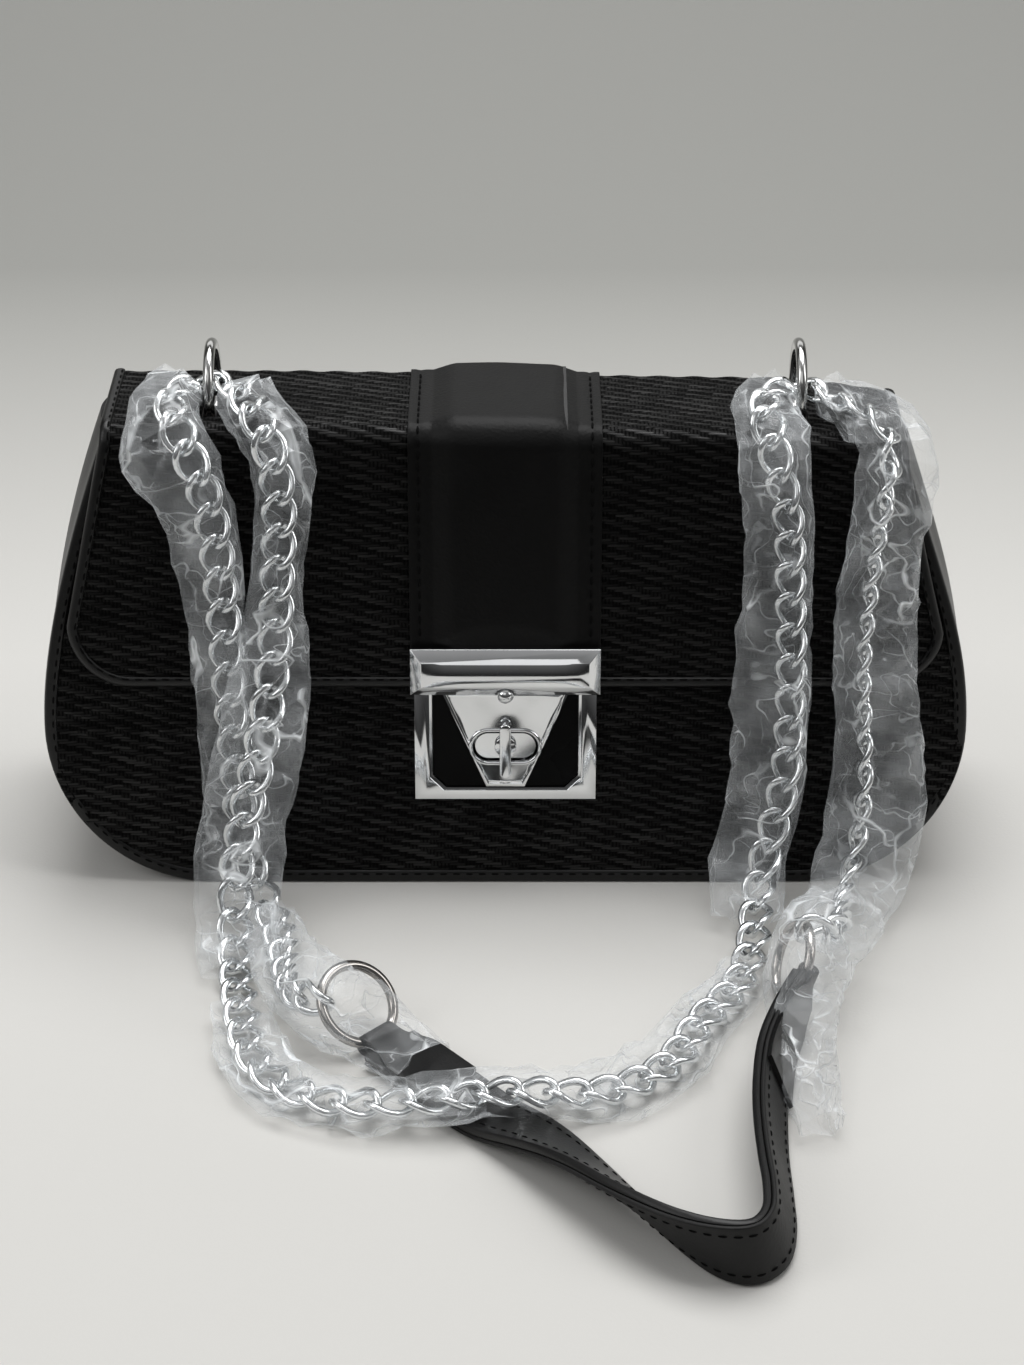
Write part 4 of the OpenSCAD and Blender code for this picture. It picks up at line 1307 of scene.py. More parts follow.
def strand_frame(route: Route, s: Array, rolled: bool) -> tuple[Array, ...]:
    """Places and directions along the chain.

    Args:
        route: The chain's route.
        s: Distances along it.
        rolled: Turns the directions with the links, or leaves them with the surface below.

    Returns:
        The places, the directions along, out of the surface and across.
    """
    here = route.at(s)
    step = 0.005
    t = unit(route.at(s + step)[:, :3] - route.at(s - step)[:, :3])
    tilt, roll = np.radians(here[:, 3]), np.radians(here[:, 4])
    n = square_to(np.stack([0 * tilt, -np.sin(tilt), np.cos(tilt)], axis=1), t)
    b = np.cross(n, t)
    if rolled:
        c, w = np.cos(roll)[:, None], np.sin(roll)[:, None]
        n, b = n * c + b * w, b * c - n * w
    return here[:, :3], t, n, b


@dataclass
class ChainStrap(Assembly):
    """The curb chain: one bent link, copied along the route."""

    route: Route = field(default_factory=chain_route)
    links: int = 114
    link_l: float = 0.0153
    link_w: float = 0.0112
    cad_wire_r: float = 0.00105
    wire_r: float = 0.00118
    turn: float = 45.0
    rings: int = 26
    sides: int = 9

    def one_link(self) -> tuple[Array, Array]:
        """The points and faces of a link: an oval of wire, twisted so that it lies flat.

        Returns:
            The points and the faces.
        """
        a = np.arange(self.rings) * 2 * math.pi / self.rings
        length, width = self.link_l / 2 - self.cad_wire_r, self.link_w / 2 - self.cad_wire_r

        def line(angle: Array) -> Array:
            """The wire's middle at angles round the oval.

            Args:
                angle: The angles.

            Returns:
                The places.
            """
            x, y = length * np.cos(angle), width * np.sin(angle)
            w = math.radians(self.turn) * np.cos(angle)
            return np.stack([x, y * np.cos(w), y * np.sin(w)], axis=1)

        t = unit(line(a + 0.03) - line(a - 0.03))
        w = math.radians(self.turn) * np.cos(a)
        n = square_to(np.stack([0 * w, -np.sin(w), np.cos(w)], axis=1), t)
        b = np.cross(t, n)
        g = np.arange(self.sides) * 2 * math.pi / self.sides
        flat = np.clip(self.wire_r * np.cos(g), -0.8 * self.wire_r, 0.8 * self.wire_r)
        points = line(a)[:, None] + n[:, None] * flat[:, None] + b[:, None] * (
            self.wire_r * np.sin(g)[:, None])
        i, k = np.arange(self.rings)[:, None], np.arange(self.sides)
        j, m = (i + 1) % self.rings, (k + 1) % self.sides
        faces = np.stack(np.broadcast_arrays(
            i * self.sides + k, i * self.sides + m, j * self.sides + m, j * self.sides + k), axis=-1)
        return points.reshape(-1, 3), faces.reshape(-1, 4)

    def build(self) -> Piece:
        """Builds and dresses the chain.

        Returns:
            The chain.
        """
        step = self.route.length / self.links
        ends = self.route.at(np.arange(self.links + 1) * step)[:, :3]
        middle, t = (ends[1:] + ends[:-1]) / 2, unit(ends[1:] - ends[:-1])
        _, _, n, _ = strand_frame(self.route, (np.arange(self.links) + 0.5) * step, True)
        n = square_to(n, t)
        link, faces = self.one_link()
        points = self.shape.sagged(set_at(middle, t, np.cross(n, t), n, link))
        points[..., 2] -= np.minimum(points[..., 2].min(axis=1, keepdims=True), 0.0)
        piece = settled(copies("chain", points, faces))
        shade(piece, 60)
        return dress(piece, Body.BAG, Slot.CHAIN, self.finishes.chain, "chain_left_back",
                     "chain_left_front", "chain_floor", "chain_right_inner", "chain_right_outer")

    def declare(self, chain: Piece, films: Sequence[Piece]) -> None:
        """Works out the chain's route after the sag, and does nothing more with it.

        Args:
            chain: The chain; not used.
            films: The film sleeves; not used.
        """
        line = self.shape.sagged(self.route.line[:, :3])


@dataclass(frozen=True)
class Sleeve:
    """One sleeve of film: rows of the route, its reach to both sides, and its height, in mm."""

    name: str
    rows: tuple[tuple[float, float, float, float], ...]
    nodes: tuple[str, ...]
    seed: int


@dataclass
class FilmSleeves(Assembly):
    """Clear crinkled film that is still round the chain."""

    route: Route
    around: int = 16
    step: float = 0.0052
    crumple: float = 0.0011
    lift: float = 0.0004
    foot: float = 0.004
    off_flap: float = 0.0048
    off_body: float = 0.0012
    sleeves: tuple[Sleeve, ...] = (
        Sleeve("film_back_left", (
            (9.6, 7, 10, 4), (11, 7, 11, 4.5), (12.5, 6, 11, 4.5), (13.5, 7, 13, 5),
            (14.4, 7, 16, 6), (15.2, 8, 20, 7), (16, 8, 19, 7), (17, 8, 14, 7), (18.6, 9, 9, 7)),
            ("film_left_back",), 3),
        Sleeve("film_front_left", (
            (22, 9, 8, 6), (23.4, 9, 10, 6), (24.6, 8, 12, 6), (25.3, 7, 12, 5), (26, 7, 9, 5),
            (27, 8, 7, 4.5), (27.8, 11, 10, 5), (28.5, 13, 12, 5), (29.3, 14, 13, 5),
            (30.2, 13, 13, 5), (31.2, 13, 14, 5), (32.4, 12, 13, 4), (33.4, 11, 12, 3.6)),
            ("film_left_front",), 5),
        Sleeve("film_on_floor", (
            (34.2, 9, 9, 4), (35, 10, 11, 5), (36, 12, 10, 5), (37, 11, 10, 5), (38.4, 10, 9, 5),
            (40, 9, 9, 5), (42, 10, 9, 5), (43, 11, 10, 6), (43.8, 10, 13, 8), (44.6, 9, 11, 6),
            (45.6, 9, 9, 5), (46.4, 8, 8, 4.5)),
            ("film_floor",), 7),
        Sleeve("film_inner_right", (
            (47.6, 8, 13, 5), (48.6, 7, 16, 6), (49.4, 6, 16, 6), (50.4, 6, 17, 6),
            (51.4, 6, 18, 6), (52.2, 6, 17, 6), (53, 6, 14, 6), (53.8, 7, 13, 6),
            (54.6, 8, 13, 6), (55.2, 10, 12, 6), (56.2, 12, 10, 6), (57.4, 10, 10, 6),
            (58.8, 9, 9, 6)),
            ("film_right_inner",), 11),
        Sleeve("film_outer_right", (
            (61.4, 8, 8, 6), (62.6, 9, 10, 7), (64, 10, 12, 8), (65, 10, 14, 8), (66.2, 9, 14, 8),
            (67, 8, 13, 7), (68, 9, 15, 7), (69, 9, 16, 7), (70, 8, 17, 7), (71, 10, 19, 7),
            (72, 11, 20, 7), (73, 11, 19, 7), (74.6, 11, 15, 8), (76, 10, 12, 9)),
            ("film_right_outer",), 13),
    )
    left_ring_rows: tuple[tuple[float, ...], ...] = (
        (-0.0715, -0.066, 0.006, 0, 0), (-0.0665, -0.084, 0.0075, 0, 0),
        (-0.061, -0.104, 0.011, 0, 0), (-0.05, -0.118, 0.0125, 0, 0),
        (-0.0385, -0.1265, 0.0085, 0, 0), (-0.03, -0.134, 0.006, 0, 0), (-0.0225, -0.141, 0.0055, 0, 0))
    right_ring_rows: tuple[tuple[float, ...], ...] = (
        (0.1, -0.084, 0.018, 0, 0), (0.092, -0.096, 0.018, 0, 0), (0.0865, -0.11, 0.0155, 0, 0),
        (0.0835, -0.125, 0.014, 0, 0), (0.0825, -0.141, 0.012, 0, 0), (0.083, -0.156, 0.0085, 0, 0),
        (0.0855, -0.168, 0.006, 0, 0))
    ring_sleeves: tuple[Sleeve, ...] = (
        Sleeve("film_at_left_ring", (
            (0, 8, 8, 4), (1, 10, 9, 6), (2, 12, 12, 9), (3, 16, 13, 11), (4, 14, 13, 8),
            (5, 12, 12, 5), (6, 11, 11, 4.5)), (), 17),
        Sleeve("film_at_right_ring", (
            (0, 12, 14, 9), (1, 13, 13, 13), (2, 12, 12, 13), (3, 9, 11, 12), (4, 8, 10, 11),
            (5, 7, 10, 7.5), (6, 6, 8, 5)), (), 19),
    )

    def sleeve(self, plan: Sleeve, route: Route) -> Piece:
        """Makes one sleeve: an uneven flat tube of facets, open at both ends.

        Args:
            plan: The sleeve's rows.
            route: The route that its rows belong to.

        Returns:
            The dressed piece.
        """
        rows = np.array(plan.rows)
        run = route.row_run(rows[:, 0])
        s = np.linspace(run[0], run[-1], max(4, round((run[-1] - run[0]) / self.step)) + 1)
        rng = np.random.default_rng(plan.seed)
        s[1:-1] += rng.uniform(-0.25, 0.25, len(s) - 2) * self.step
        place, t, n, b = strand_frame(route, s, False)
        minus, plus, high = (np.interp(s, run, rows[:, k]) * MM for k in (1, 2, 3))
        g = (np.arange(self.around) + 0.5) * 2 * math.pi / self.around
        g = g[None] + rng.uniform(-0.12, 0.12, (len(s), self.around))
        side = np.where(np.cos(g) > 0, plus[:, None], minus[:, None]) * np.cos(g)
        lift = high[:, None] * np.sin(g)
        wobble = rng.normal(0, 1, (len(s), self.around, 2)) * self.crumple
        fade = np.abs(np.sin(g)) * 0.7 + 0.3
        side, lift = side + wobble[..., 0] * fade, lift + wobble[..., 1] * fade
        points = place[:, None] + b[:, None] * side[..., None] + n[:, None] * lift[..., None]
        points = self.shape.sagged(points)
        points[..., 2] = np.maximum(points[..., 2], self.lift)
        points = self.pushed(points)
        girth = np.arange(self.around + 1) * (minus + plus + 2 * high).mean() / self.around
        cut = np.stack(np.broadcast_arrays(s[:, None] + 0.01 * plan.seed, girth[None]), axis=-1)
        piece = settled(grid_piece(plan.name, points, cut, wrap=True))
        finish_with(piece, "TRIANGULATE")
        return dress(piece, Body.BAG, Slot.FILM, self.finishes.film, *plan.nodes)

    def pushed(self, points: Array) -> Array:
        """Keeps the film outside the front of the closed flap and the body.

        Args:
            points: The film's points.

        Returns:
            The points, none of them inside the bag.
        """
        z = points[..., 2]
        on_flap = (z > Flap.low) & (np.abs(points[..., 0]) < Flap.half_low)
        skin = np.where(on_flap, self.off_flap, self.off_body)
        face = -self.shape.base_d / 2 + z * self.shape.slant - skin
        upright = (z > self.foot) & (z < self.shape.height + MM)
        inside = upright & (points[..., 1] > face) & (points[..., 1] < 0)
        moved = points.copy()
        moved[..., 1] = np.where(inside, face, points[..., 1])
        return moved

    def build(self) -> list[Piece]:
        """Builds and dresses every sleeve.

        Returns:
            The sleeves.
        """
        on_chain = [self.sleeve(plan, self.route) for plan in self.sleeves]
        tables = (self.left_ring_rows, self.right_ring_rows)
        return on_chain + [
            self.sleeve(plan, Route(rows)) for plan, rows in zip(self.ring_sleeves, tables)]


@dataclass(frozen=True)
class Fold:
    """Where the leather folds round one of the pad's rings, and along which axis."""

    place: tuple[float, float, float]
    axis: tuple[float, float, float]
    radius: float = 0.0025


@dataclass
class ShoulderPad(Assembly):
    """The leather shoulder pad: two sewn layers, and a tail at each end that holds a ring."""

    route: Route = field(default_factory=pad_route)
    width: float = 0.019
    outer_t: float = 0.0024
    backing_t: float = 0.0014
    clear: float = 0.0026
    edge_r: float = 0.00055
    crown: float = 0.00025
    seam: float = 0.00008
    tail_start: float = 0.0006
    stitch_in: float = 0.003
    fold_w: float = 0.0115
    neck: float = 0.004
    neck_l: float = 0.011
    back_step: float = 0.002
    look: float = 0.0015
    lift: float = 0.0003
    spans: int = 18
    left: Fold = Fold((-0.03615, -0.12555, 0.00341), (0.7071, 0.7071, 0.0))
    right: Fold = Fold((0.0851, -0.11239, 0.013), (-0.339, -0.0476, -0.94))

    def frame_at(self, s: Array) -> tuple[Array, ...]:
        """Places along the strap, and the directions along, over its width and out of it.

        Args:
            s: Distances along the strap.

        Returns:
            Four arrays with a row for each distance.
        """
        here = self.route.at(s)
        t = unit(self.route.at(s + self.look)[:, :3] - self.route.at(s - self.look)[:, :3])
        side = unit(np.stack([t[:, 1], -t[:, 0], 0 * t[:, 0]], axis=1))
        up = unit(np.cross(side, t))
        q = np.radians(here[:, 3])[:, None]
        c, w = np.cos(q), np.sin(q)
        return here[:, :3] + [0.0, 0.0, self.lift], t, side * c + up * w, up * c - side * w

    def layer(self, name: str, low: float, high: float, crown: float) -> Piece:
        """Sweeps one layer of the strap between two heights.

        Args:
            name: The piece's name.
            low: The height of its lower face.
            high: The height of its upper face.
            crown: How far the middle of the upper face rises.

        Returns:
            The piece.
        """
        s = np.linspace(self.clear, self.route.length - self.clear, 130)
        place, _, wide, out = self.frame_at(s)
        piece = swept(name, place, wide, out, loop_section(self.width, low, high, self.edge_r, crown))
        shade(piece, 50)
        return piece

    def tail(self, name: str, start: float, end: float, level: float, back: float,
             fold: Fold) -> Piece:
        """Makes the leather that comes off the strap, folds round a ring and goes back.

        Args:
            name: The piece's name.
            start: Where the tail starts along the route.
            end: Where it leaves the strap for the ring.
            level: The height of its middle over the strap's middle.
            back: The height of its far end, on the other face.
            fold: The fold round the ring.

        Returns:
            The piece.
        """
        s = np.linspace(start, end, 26)
        place, t, wide, out = self.frame_at(s)
        first = place + out * level
        heading = unit(t[-1] * np.sign(end - start))
        axis = unit(np.array(fold.axis))
        axis = axis * np.sign(np.dot(axis, wide[-1]))
        ahead = unit(heading - np.dot(heading, axis) * axis)
        over = np.cross(axis, ahead)
        over = over * np.sign(np.dot(over, out[-1]) * level)
        a = np.radians(np.linspace(0, 180, 13))[:, None]
        bend = np.array(fold.place) + fold.radius * (np.cos(a) * over + np.sin(a) * ahead)
        s_back = end - np.sign(end - start) * np.arange(1, 4) * self.back_step
        b_place, _, b_wide, b_out = self.frame_at(s_back)
        line = np.vstack([first, bend, b_place + b_out * back])
        sides = np.vstack([wide, np.repeat(axis[None], len(a), axis=0), b_wide])
        run = runs(line)
        even = np.linspace(0, run[-1], 90)
        smooth = along(np.hstack([line, sides]), even)
        c, w = smooth[:, :3], smooth[:, 3:]
        c[1:-1] = (c[:-2] + 2 * c[1:-1] + c[2:]) / 4
        tangent = unit(np.gradient(c, axis=0))
        w = square_to(w, tangent)
        thick = np.cross(tangent, w)
        near = np.linalg.norm(c - np.array(fold.place), axis=1)
        width = self.fold_w + (self.width - self.fold_w) * ease((near - self.neck) / self.neck_l)
        plain = loop_section(1.0, -0.5, 0.5, 0.12, across=8)
        high = np.broadcast_to(plain[None, :, 1] * self.backing_t, (len(c), len(plain)))
        section = np.stack([plain[None, :, 0] * width[:, None], high], axis=-1)
        piece = swept(name, c, w, thick, section)
        shade(piece, 50)
        return piece

    def stitches(self) -> Piece:
        """Sews both faces along both edges.

        Returns:
            The stitches.
        """
        start = self.clear + Stitch.pitch
        s = np.linspace(start, self.route.length - start, 150)
        place, _, wide, out = self.frame_at(s)
        rows = []
        for sign in (-1, 1):
            across = wide * sign * (self.width / 2 - self.stitch_in)
            for level, look in ((self.outer_t + GAP, 1), (-self.backing_t - GAP / 5, -1)):
                rows.append(Stitch().row("pad_stitches", place + across + out * level, out * look))
        return merged("pad_stitches", rows)

    def build(self) -> None:
        length = self.route.length
        outer = self.layer("shoulder_pad", 0.0, self.outer_t, self.crown)
        dress(outer, Body.BAG, Slot.LEATHER, self.finishes.leather, "pad_outer")
        backing = self.layer("shoulder_pad_backing", -self.backing_t, -self.seam, 0.0)
        dress(backing, Body.BAG, Slot.BACKING, self.finishes.backing, "pad_backing")
        span = length / self.spans
        tail_middle = self.backing_t / 2
        left = self.tail("pad_tail_of_left_ring", 2 * span, self.tail_start,
                         self.outer_t + GAP + tail_middle, -tail_middle, self.left)
        right = self.tail("pad_tail_of_right_ring", length - 3 * span, length - self.tail_start,
                          -self.backing_t - GAP - tail_middle, self.outer_t / 2, self.right)
        for tail, node in ((left, "pad_tail_left"), (right, "pad_tail_right")):
            dress(tail, Body.BAG, Slot.LEATHER, self.finishes.leather, node)
        sewn = dress(self.stitches(), Body.BAG, Slot.LEATHER, self.finishes.thread)


# Body and flap


@dataclass
class BagBody(Assembly):
    """The body: woven panels, boards, gusset, bindings, linings, facings and slip pocket."""

    twill: Twill = Twill()
    grain: float = 0.00115
    skin_t: float = 0.0012
    board_t: float = 0.001
    lining_t: float = 0.0008
    binding_t: float = 0.0008
    binding_w: float = 0.004
    binding_drop: float = 0.0012
    gusset_t: float = 0.0014
    fold_in: float = -0.0024
    board_in: float = 0.0036
    lining_out: float = 0.003
    belly: float = 0.0009
    belly_top: float = 0.07
    belly_end: float = 0.08
    calm_z: float = 0.05
    calm_tall: float = 1.4
    calm_r: float = 0.034
    calm_fade: float = 0.03
    uneven: float = 0.00022
    stitch_in: float = 0.0029
    stitch_drop: float = 0.002
    knob_at: tuple[float, float] = (0.0, 0.0468)
    knob_hole: float = 0.0026
    facing_h: float = 0.018
    facing_half: float = 0.0964
    tab_x: float = 0.087
    tab_half: float = 0.0102
    pocket: tuple[float, float, float] = (0.075, 0.026, 0.11)
    pocket_out: float = -0.0031
    lining_margin: float = 0.0038
    coarse: float = 0.004
    middle: tuple[float, float] = (0.0, 0.07)

    def waves(self, x: Array, z: Array) -> Array:
        """The soft unevenness of the skin, which is flat round the lock.

        Args:
            x: Widths.
            z: Heights.

        Returns:
            How far the skin stands out there.
        """
        away = np.hypot(x, (z - self.calm_z) * self.calm_tall)
        clear = ease((away - self.calm_r) / self.calm_fade)
        low = ease((self.belly_end - z) / (self.belly_end / 2))
        swell = self.belly * np.sin(np.clip(z / self.belly_top, 0, 1) * math.pi) * low
        return clear * (self.uneven * ripple(x, z, 0.05, 4) + swell)

    def panel(self, name: str, front: bool, inset: float, high: float, thick: float, step: float,
              woven: bool = False, hole: bool = False) -> Piece:
        """Makes one layer of the front or the back.

        Args:
            name: The piece's name.
            front: The front, or else the back.
            inset: How far inside the bag's outline its edge lies.
            high: How far its outer face lies out of the panel's plane.
            thick: Its thickness.
            step: The grain of its grid.
            woven: Raises the straw's diagonals.
            hole: Leaves a hole for the lock's spindle.

        Returns:
            The piece.
        """
        tall = self.shape.height - self.shape.corner
        edge = self.shape.outline(inset, rounds=22, sides=max(8, round(tall / step)))
        cols = round(2 * self.shape.half_w / step)
        u = np.linspace(-1, 1, cols + 1)
        x, z = edge[:, :1] * u[None], np.repeat(edge[:, 1:], cols + 1, axis=1)
        up = z / math.cos(self.shape.lean)
        out = high + (self.waves(x, z) if front else 0)
        if woven:
            out = out + self.twill.relief(x, up)
        cut = np.stack([x if front else -x, up], axis=-1)
        piece = grid_piece(name, self.shape.side(front)(x, z, out), cut)
        if hole:
            without(piece, lambda f: math.dist(
                f.calc_center_median().xz, self.knob_at) < self.knob_hole)
        settled(piece, (0, -1 if front else 1, 0))
        finish_with(piece, "SOLIDIFY", thickness=thick, offset=-1.0)
        for v in piece.data.vertices:
            v.co.z = max(v.co.z, GAP)
        shade(piece, 50)
        return piece

    def edge_line(self, inset: float, drop: float = 0.0) -> Array:
        """The whole outline from the upper right over the base to the upper left.

        Args:
            inset: How far inside the edge it runs.
            drop: How far below the mouth it ends.

        Returns:
            Points of width and height.
        """
        half = self.shape.outline(inset, rounds=24, sides=60)
        half = half[half[:, 1] <= self.shape.height - drop + 1e-9]
        base = np.linspace(half[0, 0], -half[0, 0], 70)[1:-1]
        foot = np.stack([base, np.full(len(base), half[0, 1])], axis=1)
        return np.vstack([half[::-1], foot, half * [-1, 1]])

    def binding(self, name: str, front: bool) -> Piece:
        """Makes the leather that binds one panel's edge.

        Args:
            name: The piece's name.
            front: For the front, or else for the back.

        Returns:
            The piece.
        """
        high, w = self.binding_t, self.binding_w
        section = np.array([
            (w, 0.0), (w - 0.00005, 0.6 * high), (w - 0.0004, high), (0.75 * w, 1.04 * high),
            (0.5 * w, 1.12 * high), (0.25 * w, 1.05 * high), (0.1 * w, 0.7 * high),
            (0.0002, 0.1 * high), (0.0, -0.0006), (0.00005, -0.0016), (0.0003, -0.0021),
            (0.0009, -0.0021), (0.0011, -0.0012), (0.0016, 0.0), (0.5 * w, 0.0)])
        line = self.edge_line(0.0, self.binding_drop)
        return bound_edge(name, line, self.middle, section, self.shape.side(front))

    def binding_stitches(self, name: str, front: bool) -> Piece:
        """Sews a binding's inner edge.

        Args:
            name: The piece's name.
            front: For the front, or else for the back.

        Returns:
            The stitches.
        """
        line = self.edge_line(self.stitch_in, self.stitch_drop)
        place = self.shape.side(front)(line[:, 0], line[:, 1], self.binding_t * 1.02)
        look = np.array([0, -1 if front else 1, self.shape.slant])
        return Stitch().row(name, place, np.broadcast_to(unit(look), place.shape))

    def gusset(self, name: str, inset: float, thick: float, margin: float) -> Piece:
        """Makes a strip that runs down one side, under the base and up the other one.

        Args:
            name: The piece's name.
            inset: How far inside the bag's outline its outer face lies.
            thick: Its thickness.
            margin: How far inside the panels' planes its long edges lie.

        Returns:
            The piece.
        """
        line = self.edge_line(inset)
        inward = inward_of(line, self.middle)
        v = np.linspace(-1, 1, 25)
        depth = self.fold_in * ease((line[:, 1] - 0.03) / 0.1)
        fold = depth[:, None] * np.cos(v * math.pi / 2)[None] ** 2
        x = line[:, :1] + inward[:, :1] * fold
        z = line[:, 1:] + inward[:, 1:] * fold
        half = self.shape.base_d / 2 - line[:, 1] * self.shape.slant - margin
        y = np.broadcast_to(half[:, None] * v[None], x.shape)
        points = self.shape.sagged(np.stack([x, y, z], axis=-1))
        cut = np.stack(np.broadcast_arrays(runs(line)[:, None], y), axis=-1)
        piece = settled(grid_piece(name, points, cut))
        low = min(piece.data.polygons, key=lambda p: p.center.z)
        if low.normal.z > 0:
            piece.data.flip_normals()
        finish_with(piece, "SOLIDIFY", thickness=thick, offset=-1.0)
        shade(piece, 50)
        return piece

    def patch(self, name: str, front: bool, half: float, low: float, high: float, out: float,
              thick: float, skip: float = 0.0) -> Piece:
        """Makes a flat patch inside the bag.

        Args:
            name: The piece's name.
            front: On the front, or else on the back.
            half: Half its width.
            low: The height of its lower edge.
            high: The height of its upper edge.
            out: How far its outer face lies out of the panel's plane.
            thick: Its thickness.
            skip: Half the width of the gaps that it leaves for the ring tabs.

        Returns:
            The piece.
        """
        x = marked([-half, half], self.coarse)
        z = marked([low, high], self.coarse)
        if skip:
            x = x[np.abs(np.abs(x) - self.tab_x) > skip]
            ends = [s * (self.tab_x + k * skip) for s in (-1, 1) for k in (-1, 1)]
            x = np.sort(np.append(x, ends))
            x = x[np.abs(x) < self.facing_half]
        gx, gz = np.meshgrid(x, z)
        points = self.shape.side(front)(gx, gz, out)
        piece = grid_piece(name, points, np.stack([gx, gz], axis=-1))
        if skip:
            without(piece, lambda f: abs(abs(f.calc_center_median().x) - self.tab_x) < skip)
        settled(piece, (0, -1 if front else 1, 0))
        finish_with(piece, "SOLIDIFY", thickness=thick, offset=-1.0)
        round_off(piece, self.lining_t / 4, 1)
        return piece

    def build(self) -> None:
        """Builds and dresses the body."""
        straw, board, cloth = self.finishes.straw, self.finishes.board, self.finishes.lining
        leather = self.finishes.leather
        for side, front in (("front", True), ("back", False)):
            skin = self.panel(f"{side}_skin", front, self.binding_t, 0.0, self.skin_t, self.grain,
                              woven=True, hole=front)
            dress(skin, Body.BAG, Slot.STRAW, straw, f"{side}_panel")
            stiff = self.panel(f"{side}_stiffener", front, self.board_in, -self.skin_t - GAP,
                               self.board_t, self.coarse, hole=front)
            dress(stiff, Body.BAG, Slot.BOARD, board, f"{side}_board")
            level = -self.lining_out if front else -self.skin_t - self.board_t
            lining = self.panel(f"{side}_lining_cloth", front, self.board_in, level - GAP,
                                self.lining_t, self.coarse, hole=front)
            dress(lining, Body.BAG, Slot.LINING, cloth, f"{side}_lining")
            bound = self.binding(f"{side}_edge_binding", front)
            dress(bound, Body.BAG, Slot.LEATHER, leather, f"{side}_binding")
            sewn = self.binding_stitches(f"{side}_edge_stitches", front)
            dress(sewn, Body.BAG, Slot.LEATHER, self.finishes.thread)
            facing = self.patch(f"{side}_mouth_facing", front, self.facing_half,
                                self.shape.height - self.facing_h, self.shape.height,
                                level - self.lining_t - GAP, self.lining_t,
                                0.0 if front else self.tab_half)
            dress(facing, Body.BAG, Slot.LEATHER, leather, f"{side}_facing")
        side_strip = self.gusset("side_gusset", 0.0, self.gusset_t, self.skin_t + self.binding_t)
        dress(side_strip, Body.BAG, Slot.LEATHER, leather, "gusset")
        inner = self.gusset("gusset_lining_cloth", self.board_in, self.lining_t, self.lining_margin)
        dress(inner, Body.BAG, Slot.LINING, cloth, "gusset_lining")
        half, low, high = self.pocket
        pocket = self.patch("slip_pocket", False, half, low, high, self.pocket_out, self.lining_t)
        dress(pocket, Body.BAG, Slot.LINING, cloth, "pocket_panel")
        dress_node("base_board", board)
        for side in ("left", "right"):
            dress_node(f"ring_tab_{side}", leather)


